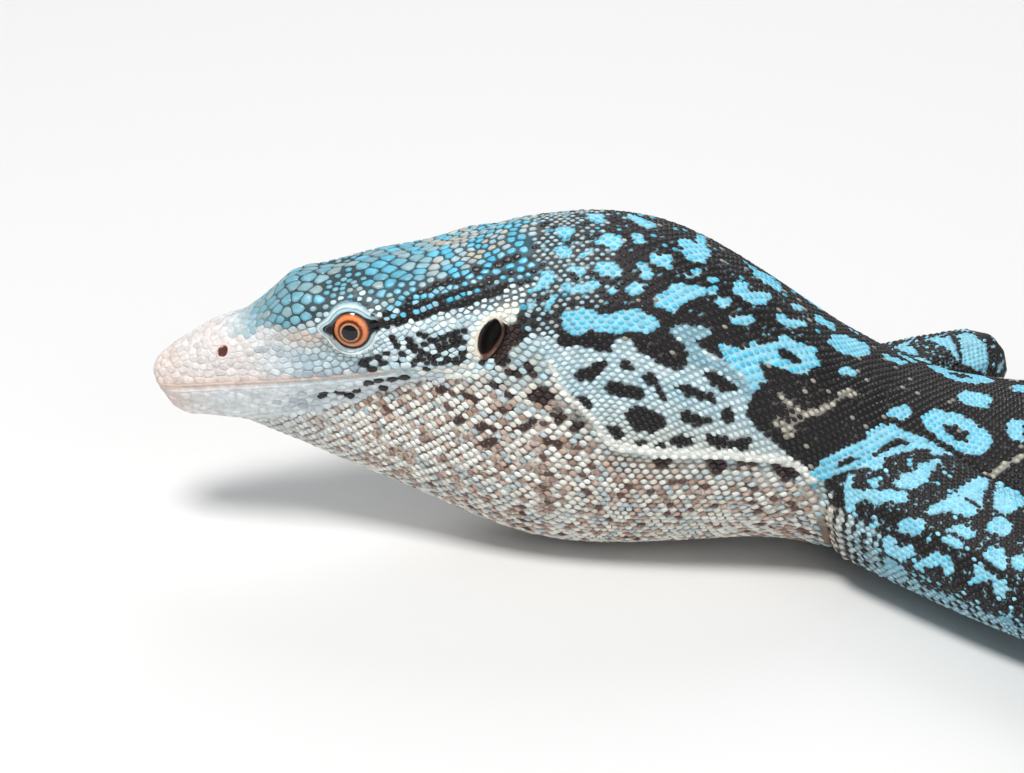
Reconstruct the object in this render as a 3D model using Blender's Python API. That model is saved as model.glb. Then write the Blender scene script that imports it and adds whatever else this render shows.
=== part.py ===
"""A blue-spotted tree monitor, life size and still, lying low with its head raised and its throat puffed out.

Metres, +Z up. The snout points along -X and the animal's left side faces -Y. The origin is the middle of the
bottom of its box. Until the last step everything is placed from the tip of the snout, at x = 0, y = 0, over
a floor at z = 0.
"""

import math

import bmesh
import bpy
import numpy as np
from mathutils import Matrix, Vector

# Driving sizes of the head, along its own axis from the tip of the snout, and up from the line of the mouth.
HEAD_LENGTH = 0.068
HEAD_PITCH = math.radians(10.0)
SNOUT_HEIGHT = 0.0295
MOUTH_LENGTH = 0.046
LIP_HEIGHT = 0.0010
LIP_FULLNESS = 0.0003
EYE_AT = 0.0369
EYE_UP = 0.0087
EYE_DEPTH = 0.0067
EYE_RADIUS = 0.0045
LID_HALF_LENGTH = 0.0044
LID_HALF_HEIGHT = 0.0039
LID_THICKNESS = 0.0010
LID_SINK = 0.0005
NOSTRIL_AT = 0.0138
NOSTRIL_UP = 0.0064
NOSTRIL_HALF_SIZES = (0.0008, 0.0011, 0.0014)
EAR_AT = 0.0592
EAR_UP = 0.0052
EAR_DEPTH = 0.0137
EAR_RIM_HALF_LENGTH = 0.0024
EAR_RIM_HALF_HEIGHT = 0.0045
EAR_RIM_THICKNESS = 0.0011
EAR_RIM_SINK = 0.0008
EAR_HALF_SIZES = (0.0018, 0.0038, 0.0036)

# How far eye, ear and nostril tilt up from straight out, and the degrees that their long axes lean.
EYE_TILT, EYE_LEAN = 0.16, -4
EAR_TILT, EAR_LEAN = 0.05, 27
NOSTRIL_TILT, NOSTRIL_LEAN = 0.35, 38

# Fits between pieces, and the groove between the lips.
GAP = 0.0003
MOUTH_DEPTH = 0.0011
MOUTH_OPENING = 0.0005
FLOOR = 0.0

# Sides of each round form.
HEAD_RINGS = 23
TRUNK_SIDES = 28
EYE_SIDES = 16
RIM_SIDES = 18
EAR_SIDES = 12
NOSTRIL_SIDES = 8
LIMB_SIDES = 10
DIGIT_SIDES = 6
CLAW_SIDES = 4

# Head sections: distance behind the snout, half width, height of the widest place, top, and bottom.
HEAD_SECTIONS = (
    (0.0000, 0.0008, 0.0006, 0.0026, -0.0016),
    (0.0008, 0.0023, 0.0010, 0.0039, -0.0044),
    (0.0030, 0.0036, 0.0012, 0.0057, -0.0066),
    (0.0080, 0.0049, 0.0014, 0.0080, -0.0080),
    (0.0135, 0.0060, 0.0016, 0.0100, -0.0096),
    (0.0170, 0.0068, 0.0018, 0.0101, -0.0096),
    (0.0220, 0.0079, 0.0020, 0.0128, -0.0080),
    (0.0265, 0.0088, 0.0022, 0.0158, -0.0070),
    (0.0330, 0.0098, 0.0028, 0.0158, -0.0072),
    (0.0420, 0.0112, 0.0030, 0.0165, -0.0079),
    (0.0500, 0.0124, 0.0030, 0.0163, -0.0088),
    (0.0580, 0.0131, 0.0030, 0.0174, -0.0096),
    (0.0680, 0.0112, 0.0030, 0.0160, -0.0090),
)

# Trunk sections from under the chin to the tip of the tail: x, y of the midline, lowest, highest, half width.
TRUNK_SECTIONS = (
    (0.0105, 0.0000, 0.0248, 0.0335, 0.0024),
    (0.0180, 0.0000, 0.0212, 0.0370, 0.0042),
    (0.0250, 0.0000, 0.0181, 0.0400, 0.0056),
    (0.0330, 0.0000, 0.0142, 0.0430, 0.0074),
    (0.0420, 0.0000, 0.0104, 0.0475, 0.0100),
    (0.0500, 0.0000, 0.0067, 0.0540, 0.0129),
    (0.0580, 0.0000, 0.0032, 0.0583, 0.0155),
    (0.0670, 0.0000, 0.0008, 0.0600, 0.0174),
    (0.0760, 0.0000, 0.0002, 0.0603, 0.0186),
    (0.0850, -0.0002, 0.0008, 0.0586, 0.0192),
    (0.0930, -0.0005, 0.0017, 0.0549, 0.0193),
    (0.1010, -0.0008, 0.0028, 0.0495, 0.0194),
    (0.1090, -0.0012, 0.0028, 0.0434, 0.0195),
    (0.1160, -0.0016, 0.0016, 0.0380, 0.0196),
    (0.1250, -0.0022, 0.0006, 0.0323, 0.0200),
    (0.1360, -0.0030, 0.0000, 0.0282, 0.0205),
    (0.1480, -0.0040, -0.0002, 0.0268, 0.0212),
    (0.1650, -0.0052, -0.0004, 0.0278, 0.0222),
    (0.1900, -0.0070, -0.0005, 0.0302, 0.0240),
    (0.2200, -0.0090, -0.0005, 0.0316, 0.0248),
    (0.2500, -0.0110, -0.0005, 0.0306, 0.0236),
    (0.2750, -0.0125, -0.0003, 0.0284, 0.0200),
    (0.2950, -0.0135, 0.0004, 0.0262, 0.0160),
    (0.3150, -0.0140, 0.0006, 0.0238, 0.0118),
    (0.3400, -0.0138, -0.0002, 0.0206, 0.0099),
    (0.3900, -0.0100, -0.0003, 0.0164, 0.0082),
    (0.4600, 0.0040, -0.0003, 0.0136, 0.0068),
    (0.5400, 0.0210, -0.0003, 0.0112, 0.0056),
    (0.6200, 0.0250, -0.0003, 0.0092, 0.0046),
    (0.7000, 0.0100, -0.0003, 0.0074, 0.0037),
    (0.7800, -0.0150, -0.0003, 0.0056, 0.0028),
    (0.8600, -0.0300, -0.0003, 0.0040, 0.0020),
    (0.9200, -0.0240, -0.0002, 0.0028, 0.0014),
    (0.9500, -0.0130, -0.0001, 0.0018, 0.0009),
)

# Where the trunk is parted, as x, and the rings and sides of each length.
TRUNK_NODES = (
    ("torso", 0.1150, 0.3150, 20, TRUNK_SIDES),
    ("tail_root", 0.3150, 0.4200, 8, 20),
    ("tail_front", 0.4200, 0.5500, 9, 16),
    ("tail_middle", 0.5500, 0.6800, 9, 14),
    ("tail_rear", 0.6800, 0.8200, 10, 12),
    ("tail_tip", 0.8200, 0.9500, 10, 9),
)
NECK_FROM = 0.0105
NECK_TO = 0.1150
NECK_RINGS = 24

# The flesh that counts as head: its outline along and up the head's axis, which ends at the edge of the jaw
# and before the nape, and half its width.
HEAD_OUTLINE = (
    (-0.0100, -0.0085),
    (0.0180, -0.0085),
    (0.0400, -0.0098),
    (0.0560, -0.0112),
    (0.0645, -0.0070),
    (0.0665, 0.0060),
    (0.0660, 0.0240),
    (-0.0100, 0.0240),
)
HEAD_MIDDLE = (0.030, 0.0060)
HEAD_REGION_HALF_WIDTH = 0.03

# Limbs: joint places, and the half width and half height of the flesh at each share of each bone.
LIMBS = {
    "fore_left": {
        "joints": ((0.1215, -0.0130, 0.0155), (0.1510, -0.0432, 0.0125), (0.1560, -0.0730, 0.0058)),
        "upper": (
            (0.0, 0.0130, 0.0130), (0.35, 0.0122, 0.0118), (0.7, 0.0108, 0.0104),
            (1.0, 0.0088, 0.0088),
        ),
        "lower": ((0.0, 0.0086, 0.0086), (0.3, 0.0078, 0.0072), (0.7, 0.0056, 0.0050), (1.0, 0.0042, 0.0038)),
        "heading": (0.12, -1.0),
    },
    "fore_right": {
        "joints": ((0.1220, 0.0100, 0.0170), (0.1410, 0.0305, 0.0150), (0.1170, 0.0440, 0.0058)),
        "upper": (
            (0.0, 0.0104, 0.0104), (0.35, 0.0092, 0.0090), (0.7, 0.0080, 0.0080),
            (1.0, 0.0070, 0.0070),
        ),
        "lower": ((0.0, 0.0068, 0.0068), (0.3, 0.0066, 0.0060), (0.7, 0.0051, 0.0045), (1.0, 0.0042, 0.0038)),
        "heading": (-0.80, 0.60),
    },
    "hind_left": {
        "joints": ((0.2920, -0.0200, 0.0140), (0.2680, -0.0560, 0.0160), (0.3000, -0.0790, 0.0064)),
        "upper": (
            (0.0, 0.0128, 0.0116), (0.35, 0.0118, 0.0108), (0.7, 0.0094, 0.0090),
            (1.0, 0.0074, 0.0074),
        ),
        "lower": ((0.0, 0.0072, 0.0072), (0.3, 0.0079, 0.0071), (0.7, 0.0053, 0.0050), (1.0, 0.0042, 0.0038)),
        "heading": (-0.42, -0.90),
    },
    "hind_right": {
        "joints": ((0.2920, -0.0060, 0.0140), (0.2810, 0.0330, 0.0160), (0.3180, 0.0460, 0.0064)),
        "upper": (
            (0.0, 0.0128, 0.0116), (0.35, 0.0118, 0.0108), (0.7, 0.0094, 0.0090),
            (1.0, 0.0074, 0.0074),
        ),
        "lower": ((0.0, 0.0072, 0.0072), (0.3, 0.0079, 0.0071), (0.7, 0.0053, 0.0050), (1.0, 0.0042, 0.0038)),
        "heading": (0.25, 0.97),
    },
}

# Digits from the inner to the outer: fleshy length, and degrees turned outwards from the foot's heading.
HAND_DIGITS = ((0.013, -52), (0.019, -24), (0.023, -2), (0.022, 20), (0.016, 54))
FOOT_DIGITS = ((0.015, -46), (0.022, -24), (0.030, -5), (0.036, 15), (0.020, 58))
PALM_LENGTH = {"fore": 0.0110, "hind": 0.0150}
PALM_HALF_WIDTH = {"fore": 0.0070, "hind": 0.0074}
PALM_HEIGHT = 0.0030
PALM_WRIST_SIZES = (0.0042, 0.0038)
PALM_MIDDLE_HEIGHT = 0.0035
PALM_FRONT_HEIGHT = 0.0031
DIGIT_ROOT_RADIUS = 0.0027
DIGIT_TIP_RADIUS = 0.0017
KNUCKLE_ARCH = 0.0016
CLAW_LENGTH = 0.0072
CLAW_RADIUS = 0.0013

COLOURS = {
    "scaly_skin": (0.035, 0.040, 0.045),
    "throat_skin": (0.42, 0.36, 0.31),
    "snout_skin": (0.55, 0.60, 0.60),
    "eye": (0.42, 0.12, 0.03),
}
ROUGHNESS = {"scaly_skin": 0.5, "throat_skin": 0.55, "snout_skin": 0.45, "eye": 0.06}


def clear_scene():
    for obj in list(bpy.data.objects):
        bpy.data.objects.remove(obj)


def material(name):
    """The Principled material of this name, made once."""
    found = bpy.data.materials.get(name)
    if found:
        return found
    made = bpy.data.materials.new(name)
    made.use_nodes = True
    shader = made.node_tree.nodes["Principled BSDF"]
    shader.inputs["Base Color"].default_value = (*COLOURS[name], 1.0)
    shader.inputs["Roughness"].default_value = ROUGHNESS[name]
    shader.inputs["Metallic"].default_value = 0.0
    return made


def flow(table, at):
    """The row of a table at this value of its first column, on a smooth curve through all its rows."""
    rows = np.asarray(table, float)
    keys = rows[:, 0]
    at = min(max(at, keys[0]), keys[-1])
    i = int(min(max(np.searchsorted(keys, at, side="right") - 1, 0), len(keys) - 2))
    slopes = np.gradient(rows, keys, axis=0)
    span = keys[i + 1] - keys[i]
    t = (at - keys[i]) / span
    return (
        rows[i] * (2 * t**3 - 3 * t**2 + 1)
        + slopes[i] * span * (t**3 - 2 * t**2 + t)
        + rows[i + 1] * (3 * t**2 - 2 * t**3)
        + slopes[i + 1] * span * (t**3 - t**2)
    )


def rounded(angle, power):
    """Cosine and sine of an angle on a superellipse, which is a circle at power 2 and boxier above it."""
    c, s = math.cos(angle), math.sin(angle)
    return (
        math.copysign(abs(c) ** (2 / power), c),
        math.copysign(abs(s) ** (2 / power), s),
    )


def loft(name, rings):
    """A closed skin over rings with the same number of points, capped at both ends."""
    bm = bmesh.new()
    loops = [[bm.verts.new(p) for p in ring] for ring in rings]
    for a, b in zip(loops, loops[1:]):
        bridge(bm, a, b)
    bm.faces.new(reversed(loops[0]))
    bm.faces.new(loops[-1])
    return linked(name, close_up(bm))


def combine(obj, pieces, operation):
    """Applies one Boolean of obj with all the pieces, and then removes them."""
    group = bpy.data.collections.new("pieces")
    for piece in pieces:
        group.objects.link(piece)
    modifier = obj.modifiers.new("combine", "BOOLEAN")
    modifier.operation = operation
    modifier.operand_type = "COLLECTION"
    modifier.collection = group
    modifier.solver = "EXACT"
    bpy.context.view_layer.update()
    shaped = obj.evaluated_get(bpy.context.evaluated_depsgraph_get())
    mesh = bpy.data.meshes.new_from_object(shaped)
    obj.modifiers.clear()
    obj.data = mesh
    for piece in pieces:
        bpy.data.objects.remove(piece)
    bpy.data.collections.remove(group)
    keep_largest(obj)
    return obj


def keep_largest(obj):
    """Leaves only the largest closed surface, and closes up points that nearly coincide."""
    bm = bmesh.new()
    bm.from_mesh(obj.data)
    bmesh.ops.remove_doubles(bm, verts=bm.verts, dist=2e-6)
    bmesh.ops.dissolve_degenerate(bm, edges=bm.edges, dist=2e-6)
    bmesh.ops.triangulate(bm, faces=bm.faces)
    unseen = set(bm.verts)
    islands = []
    while unseen:
        front = [unseen.pop()]
        island = set(front)
        while front:
            for edge in front.pop().link_edges:
                for vert in edge.verts:
                    if vert in unseen:
                        unseen.discard(vert)
                        island.add(vert)
                        front.append(vert)
        islands.append(island)
    largest = max(islands, key=lambda found: box_size(v.co for v in found))
    loose = [v for v in bm.verts if v not in largest]
    bmesh.ops.delete(bm, geom=loose, context="VERTS")
    bm.to_mesh(obj.data)
    bm.free()


def box_size(points):
    grid = np.array([tuple(p) for p in points])
    return float(np.prod(np.ptp(grid, axis=0) + 1e-6))


def finish(obj, slot):
    """Gives a node its material and smooth shading."""
    obj.data.materials.clear()
    obj.data.materials.append(material(slot))
    obj.data.shade_smooth()
    obj.data.set_sharp_from_angle(angle=math.radians(50))
    return obj


# The head


def head_place(along, side, up):
    """A point of the head, from its own axes to the animal's."""
    back = Vector((math.cos(HEAD_PITCH), 0, math.sin(HEAD_PITCH)))
    top = Vector((-math.sin(HEAD_PITCH), 0, math.cos(HEAD_PITCH)))
    return Vector((0, side, SNOUT_HEIGHT)) + back * along + top * up


def mouth_rise(along):
    """How far the line of the mouth curves up from the head's axis towards its corner."""
    return 0.0009 * max(0.0, (along - 0.02) / 0.026) ** 2


def bump(value, centre, width):
    return math.exp(-(((value - centre) / width) ** 2))


def head_swelling(along, up):
    """How far the skin stands out of the plain section: jaw muscle and brow out, the cheek in."""
    muscle = 0.0011 * bump(along, 0.050, 0.008) * bump(up, 0.0050, 0.0045)
    cheek = -0.0007 * bump(along, 0.0235, 0.0055) * bump(up, 0.0062, 0.0030)
    brow = 0.0006 * bump(along, EYE_AT, 0.0070) * bump(up, EYE_UP + 0.0042, 0.0014)
    snout = 0.0005 * bump(along, NOSTRIL_AT, 0.0045) * bump(up, NOSTRIL_UP, 0.0030)
    return muscle + cheek + brow + snout


def head_half_width(along, up):
    """Half width of the head at a height, lips and mouth left out."""
    _, half, widest, top, bottom = flow(HEAD_SECTIONS, along)
    power = 2.0 + 0.7 * min(1.0, along / 0.026) if up > widest else 2.1
    share = (up - widest) / (top - widest) if up > widest else (widest - up) / (widest - bottom)
    share = min(abs(share), 1.0)
    return half * (1 - share**power) ** (1 / power) + head_swelling(along, up) * (1 - share**6)


def head_rows(along):
    """Heights of a section's points, with how far lip or groove stands out there, from under the chin up."""
    _, _, _, top, bottom = flow(HEAD_SECTIONS, along)
    line = mouth_rise(along)
    low = line - min(LIP_HEIGHT, 0.5 * (line - bottom))
    high = line + min(LIP_HEIGHT, 0.5 * (top - line))
    half_opening = min(MOUTH_OPENING / 2, 0.3 * (high - low))
    depth = MOUTH_DEPTH / (1 + math.exp((along - MOUTH_LENGTH) / 0.0012))
    lip = LIP_FULLNESS * depth / MOUTH_DEPTH
    rows = [(low + (bottom - low) * math.sin(math.radians(t)), 0.0) for t in (90, 64, 40, 19)]
    rows += [(low, lip), (line - half_opening, lip / 2), (line, -depth)]
    rows += [(line + half_opening, lip / 2), (high, lip)]
    rows += [(high + (top - high) * math.sin(math.radians(t)), 0.0) for t in (13, 26, 39, 52, 66, 90)]
    return rows


def head_ring(along):
    """One section of the head, with the groove of the mouth between its lips."""
    half = flow(HEAD_SECTIONS, along)[1]
    right, left = [], []
    for up, proud in head_rows(along):
        side = max(head_half_width(along, up) + max(proud, -0.6 * half), 0.0)
        chin = 0.0010 * bump(up, -0.0040, 0.0030) * bump(along, 0.0, 0.0045)
        groove = max(-proud, 0.0) * bump(along, 0.0, 0.0016)
        right.append(head_place(along + chin + groove, side, up))
        left.append(head_place(along + chin + groove, -side, up))
    return right + left[-2:0:-1]


def head_core():
    """The head with its mouth, as one loft whose sections are closest together at the snout."""
    stations = [HEAD_LENGTH * (k / HEAD_RINGS) ** 1.3 for k in range(HEAD_RINGS + 1)]
    return loft("head", [head_ring(along) for along in stations])


def rim(name, centre, axes, half_long, half_high, thick):
    """A raised oval rim: a closed tube round an ellipse in the plane of the first two axes."""
    along, up, out = axes
    bm = bmesh.new()
    loops = []
    for k in range(RIM_SIDES):
        angle = 2 * math.pi * k / RIM_SIDES
        spoke = along * math.cos(angle) * half_long + up * math.sin(angle) * half_high
        outward = spoke.normalized()
        turns = [2 * math.pi * j / 5 for j in range(5)]
        ring = [centre + spoke + (outward * math.cos(t) + out * math.sin(t)) * thick for t in turns]
        loops.append([bm.verts.new(p) for p in ring])
    for k in range(RIM_SIDES):
        bridge(bm, loops[k], loops[(k + 1) % RIM_SIDES])
    return linked(name, close_up(bm))


def bridge(bm, a, b):
    """Faces between two rings with the same number of points."""
    for k in range(len(a)):
        n = (k + 1) % len(a)
        bm.faces.new((a[k], a[n], b[n], b[k]))


def close_up(bm):
    """Turns all faces outwards and makes them triangles."""
    bmesh.ops.recalc_face_normals(bm, faces=bm.faces)
    if bm.calc_volume(signed=True) < 0:
        bmesh.ops.reverse_faces(bm, faces=bm.faces)
    bmesh.ops.triangulate(bm, faces=bm.faces)
    return bm


def linked(name, bm):
    """A new object from a bmesh, in the scene."""
    mesh = bpy.data.meshes.new(name)
    bm.to_mesh(mesh)
    bm.free()
    obj = bpy.data.objects.new(name, mesh)
    bpy.context.scene.collection.objects.link(obj)
    return obj


def ball(name, centre, axes, radii, sides):
    """An ellipsoid with its three half sizes along three axes."""
    bm = bmesh.new()
    bmesh.ops.create_uvsphere(bm, u_segments=sides, v_segments=sides // 2 + 1, radius=1.0)
    turn = Matrix(axes).transposed()
    scale = Matrix.Diagonal(Vector(radii))
    for v in bm.verts:
        v.co = turn @ (scale @ v.co) + centre
    return linked(name, close_up(bm))


def head_axes(side, outward_tilt, lean_degrees):
    """Directions on one side of the head: along it, up it and out of it. The lean turns the first two."""
    lean = math.radians(lean_degrees)
    back = head_place(1, 0, 0) - head_place(0, 0, 0)
    up = head_place(0, 0, 1) - head_place(0, 0, 0)
    out = (Vector((0, side, 0)) + up * outward_tilt).normalized()
    up = (up - out * up.dot(out)).normalized()
    along = back * math.cos(lean) - up * math.sin(lean)
    upright = up * math.cos(lean) + back * math.sin(lean)
    return along, upright, out


def eye_centre(side):
    return head_place(EYE_AT, side * EYE_DEPTH, EYE_UP)


def side_features(side):
    """Rims to add and hollows to cut on one side of the head."""
    axes = head_axes(side, EYE_TILT, EYE_LEAN)
    skin = head_half_width(EYE_AT, EYE_UP)
    lid_centre = head_place(EYE_AT, side * (skin - LID_SINK), EYE_UP)
    lids = rim("lids", lid_centre, axes, LID_HALF_LENGTH, LID_HALF_HEIGHT, LID_THICKNESS)
    socket = ball("socket", eye_centre(side), axes, (EYE_RADIUS + GAP,) * 3, EYE_SIDES)

    axes = head_axes(side, EAR_TILT, EAR_LEAN)
    ear = head_place(EAR_AT, side * EAR_DEPTH, EAR_UP)
    rim_centre = ear - axes[2] * EAR_RIM_SINK
    ear_rim = rim("ear_rim", rim_centre, axes, EAR_RIM_HALF_LENGTH, EAR_RIM_HALF_HEIGHT, EAR_RIM_THICKNESS)
    ear_cup = ball("ear_cup", ear, axes, EAR_HALF_SIZES, EAR_SIDES)

    axes = head_axes(side, NOSTRIL_TILT, NOSTRIL_LEAN)
    skin = head_half_width(NOSTRIL_AT, NOSTRIL_UP)
    opening = head_place(NOSTRIL_AT, side * skin, NOSTRIL_UP)
    nostril = ball("nostril", opening, axes, NOSTRIL_HALF_SIZES, NOSTRIL_SIDES)
    return [lids, ear_rim], [socket, ear_cup, nostril]


# The trunk


def trunk_ring(x, sides, grow=0.0):
    """One upright section of the trunk, square to its line in plan, and flat where it meets the floor."""
    _, y, low, high, half = flow(TRUNK_SECTIONS, x)
    step = 0.002
    before, after = flow(TRUNK_SECTIONS, x - step), flow(TRUNK_SECTIONS, x + step)
    heading = Vector((after[0] - before[0], after[1] - before[1], 0)).normalized()
    across = Vector((-heading.y, heading.x, 0))
    middle = Vector((x, y, (low + high) / 2))
    height = (high - low) / 2 + grow
    ring = []
    for k in range(sides):
        angle = 2 * math.pi * (k + 0.5) / sides
        c, s = rounded(angle, 2.15 if math.sin(angle) > 0 else 2.3)
        point = middle + across * ((half + grow) * c) + Vector((0, 0, height * s))
        point.z = max(point.z, FLOOR - grow)
        ring.append(point)
    return ring


def trunk_length(name, start, end, rings, sides, grow=0.0, trim=GAP / 2):
    """A length of the trunk, with half of the fit taken off each end."""
    start, end = start + trim, end - trim
    stations = [start + (end - start) * k / rings for k in range(rings + 1)]
    return loft(name, [trunk_ring(x, sides, grow) for x in stations])


def head_region(grow):
    """The block of space whose flesh is called the head: above the edge of the jaw and before the nape."""
    middle = Vector(HEAD_MIDDLE)
    points = [Vector(p) for p in HEAD_OUTLINE]
    grown = [p + (p - middle).normalized() * grow for p in points]
    sides = (-HEAD_REGION_HALF_WIDTH, HEAD_REGION_HALF_WIDTH)
    return loft("region", [[head_place(p.x, side, p.y) for p in grown] for side in sides])


def copy_of(obj, name):
    twin = bpy.data.objects.new(name, obj.data.copy())
    bpy.context.scene.collection.objects.link(twin)
    return twin


def make_head_and_neck():
    """The head with its rims and hollows, and the neck with the puffed throat that hangs under the jaw."""
    whole = head_core()
    throat = trunk_length("throat", NECK_FROM, NECK_TO, NECK_RINGS, TRUNK_SIDES)
    rims, hollows = [], []
    for side in (-1, 1):
        added, cut = side_features(side)
        rims += added
        hollows += cut
    combine(whole, [throat, *rims], "UNION")
    combine(whole, hollows, "DIFFERENCE")
    neck = copy_of(whole, "neck")
    combine(whole, [head_region(0.0)], "INTERSECT")
    combine(neck, [head_region(1.4 * GAP)], "DIFFERENCE")
    finish(whole, "snout_skin")
    finish(neck, "throat_skin")


def make_eyes():
    for side, label in ((-1, "left"), (1, "right")):
        axes = head_axes(side, EYE_TILT, 0)
        eye = ball(f"eye_{label}", eye_centre(side), axes, (EYE_RADIUS,) * 3, EYE_SIDES)
        finish(eye, "eye")


def make_trunk():
    for name, start, end, rings, sides in TRUNK_NODES:
        finish(trunk_length(name, start, end, rings, sides), "scaly_skin")


# The limbs


def limb_bone(name, start, end, sizes, grow=0.0, rings=5):
    """Flesh round one bone, with round ends. sizes gives its half width and half height along the bone."""
    axis = (end - start).normalized()
    across = axis.cross(Vector((0, 0, 1))).normalized()
    upward = across.cross(axis).normalized()
    length = (end - start).length
    first, last = flow(sizes, 0.0)[1], flow(sizes, 1.0)[1]
    turns = [math.radians(t) for t in (12, 38, 64)]
    rows = [(-first * math.cos(t), math.sin(t), 0.0) for t in turns]
    rows += [(length * k / rings, 1.0, k / rings) for k in range(rings + 1)]
    rows += [(length + last * math.cos(t), math.sin(t), 1.0) for t in reversed(turns)]
    points = []
    for along, share, place in rows:
        _, half, height = flow(sizes, place)
        reach = along + math.copysign(grow, along - length / 2) * (share < 1)
        middle = start + axis * reach
        ring = []
        for k in range(LIMB_SIDES):
            angle = 2 * math.pi * k / LIMB_SIDES
            side = across * ((half + grow) * math.cos(angle) * share)
            ring.append(middle + side + upward * ((height + grow) * math.sin(angle) * share))
        points.append(ring)
    return loft(name, points)


def part_at(obj, joint, before, after, keep_before):
    """Cuts obj square across a joint, between two directions, and keeps one side, less half of the fit."""
    normal = (before.normalized() + after.normalized()).normalized()
    away = normal if keep_before else -normal
    bm = bmesh.new()
    bm.from_mesh(obj.data)
    geometry = bm.verts[:] + bm.edges[:] + bm.faces[:]
    place = joint - away * (GAP / 2)
    bmesh.ops.bisect_plane(bm, geom=geometry, dist=1e-6, plane_co=place, plane_no=away, clear_outer=True)
    bmesh.ops.holes_fill(bm, edges=[e for e in bm.edges if e.is_boundary])
    close_up(bm)
    bm.to_mesh(obj.data)
    bm.free()
    keep_largest(obj)


def digit(name, root, heading, length):
    """One finger or toe: low at the palm, arched over its knuckles, with its pad on the floor."""
    across = heading.cross(Vector((0, 0, 1))).normalized()
    loops = []
    for t, share in ((0.0, 1.0), (0.25, 1.0), (0.5, 1.06), (0.75, 1.0), (0.95, 1.06), (1.0, 0.6)):
        radius = DIGIT_ROOT_RADIUS + (DIGIT_TIP_RADIUS - DIGIT_ROOT_RADIUS) * t
        centre = root + heading * (length * t)
        centre.z = radius - 0.0002 + KNUCKLE_ARCH * math.sin(math.pi * t) ** 2
        loop = []
        for j in range(DIGIT_SIDES):
            angle = 2 * math.pi * (j + 0.5) / DIGIT_SIDES
            point = centre + across * (radius * share * math.cos(angle))
            point.z = max(point.z + radius * share * math.sin(angle), FLOOR)
            loop.append(point)
        loops.append(loop)
    return loft(name, loops)


def claw(name, tip, heading):
    """A hooked claw: it rises from the end of a digit and curves down to the floor."""
    rings = 3
    across = heading.cross(Vector((0, 0, 1))).normalized()
    loops = []
    for k in range(rings + 1):
        t = k / rings
        turn = math.radians(-30 + 105 * t)
        reach = CLAW_LENGTH * (0.62 * math.sin(turn + math.radians(30)) + 0.10 * t - 0.12)
        drop = CLAW_LENGTH * (0.16 * math.sin(math.pi * t) - 0.30 * t**2)
        radius = CLAW_RADIUS * (1 - t) ** 0.8 + 0.00022
        lean = Vector((0, 0, 1)) * math.cos(turn) + heading * math.sin(turn)
        centre = tip + heading * reach + Vector((0, 0, drop + 0.0004))
        loop = []
        for j in range(CLAW_SIDES):
            angle = 2 * math.pi * j / CLAW_SIDES
            point = centre + across * (0.62 * radius * math.cos(angle)) + lean * (radius * math.sin(angle))
            point.z = max(point.z, FLOOR)
            loop.append(point)
        loops.append(loop)
    return loft(name, loops)


def make_foot(limb, kind, wrist, heading):
    """The palm or sole with its digits and claws, made one."""
    turn_sign = -1 if limb.endswith("left") else 1
    length, half = PALM_LENGTH[kind], PALM_HALF_WIDTH[kind]
    start = wrist - heading * 0.001
    end = Vector((wrist.x, wrist.y, PALM_HEIGHT)) + heading * length
    sizes = (
        (0.0, *PALM_WRIST_SIZES),
        (0.5, half * 0.84, PALM_MIDDLE_HEIGHT),
        (1.0, half, PALM_FRONT_HEIGHT),
    )
    palm = limb_bone(f"{limb}_foot", start, end - heading * 0.003, sizes, rings=3)
    flatten(palm)
    pieces = []
    for number, (reach, degrees) in enumerate(HAND_DIGITS if kind == "fore" else FOOT_DIGITS):
        spread = (number - 2) / 2
        side = Vector((-heading.y, heading.x, 0)) * turn_sign
        root = end - heading * (0.0035 + 0.0030 * spread**2) + side * (spread * half * 0.66)
        turn = Matrix.Rotation(math.radians(degrees) * turn_sign, 3, "Z")
        way = (turn @ heading).normalized()
        full = reach + 0.003
        pieces.append(digit("digit", root, way, full))
        tip = root + way * (full - 0.0012)
        tip.z = DIGIT_TIP_RADIUS
        pieces.append(claw("claw", tip, way))
    return combine(palm, pieces, "UNION")


def flatten(obj):
    """Stops a piece at the floor."""
    for v in obj.data.vertices:
        v.co.z = max(v.co.z, FLOOR)


def make_limb(limb, plan):
    """Upper limb, lower limb and foot, parted at the bend and the wrist, and cut clear of the trunk."""
    kind = limb.split("_")[0]
    root, bend, wrist = (Vector(p) for p in plan["joints"])
    heading = Vector((*plan["heading"], 0)).normalized()
    upper = limb_bone(f"{limb}_upper", root, bend, plan["upper"])
    lower = limb_bone(f"{limb}_lower", bend, wrist, plan["lower"])
    flatten(lower)
    foot = make_foot(limb, kind, wrist, heading)
    part_at(upper, bend, bend - root, wrist - bend, True)
    part_at(lower, bend, bend - root, wrist - bend, False)
    part_at(lower, wrist, wrist - bend, heading, True)
    part_at(foot, wrist, wrist - bend, heading, False)
    trunk = trunk_length("trunk", 0.085, 0.345, 40, TRUNK_SIDES, grow=GAP, trim=0.0)
    combine(upper, [trunk], "DIFFERENCE")
    for piece in (upper, lower, foot):
        finish(piece, "scaly_skin")


def centre_on_floor():
    """Moves everything so that the origin is the middle of the bottom of its box."""
    corners = np.array(
        [tuple(v.co) for obj in bpy.data.objects if obj.type == "MESH" for v in obj.data.vertices]
    )
    low, high = corners.min(axis=0), corners.max(axis=0)
    shift = Vector((-(low[0] + high[0]) / 2, -(low[1] + high[1]) / 2, -low[2]))
    for obj in bpy.data.objects:
        if obj.type == "MESH":
            obj.data.transform(Matrix.Translation(shift))


def main():
    clear_scene()
    make_head_and_neck()
    make_eyes()
    make_trunk()
    for limb, plan in LIMBS.items():
        make_limb(limb, plan)
    centre_on_floor()


main()
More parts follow.
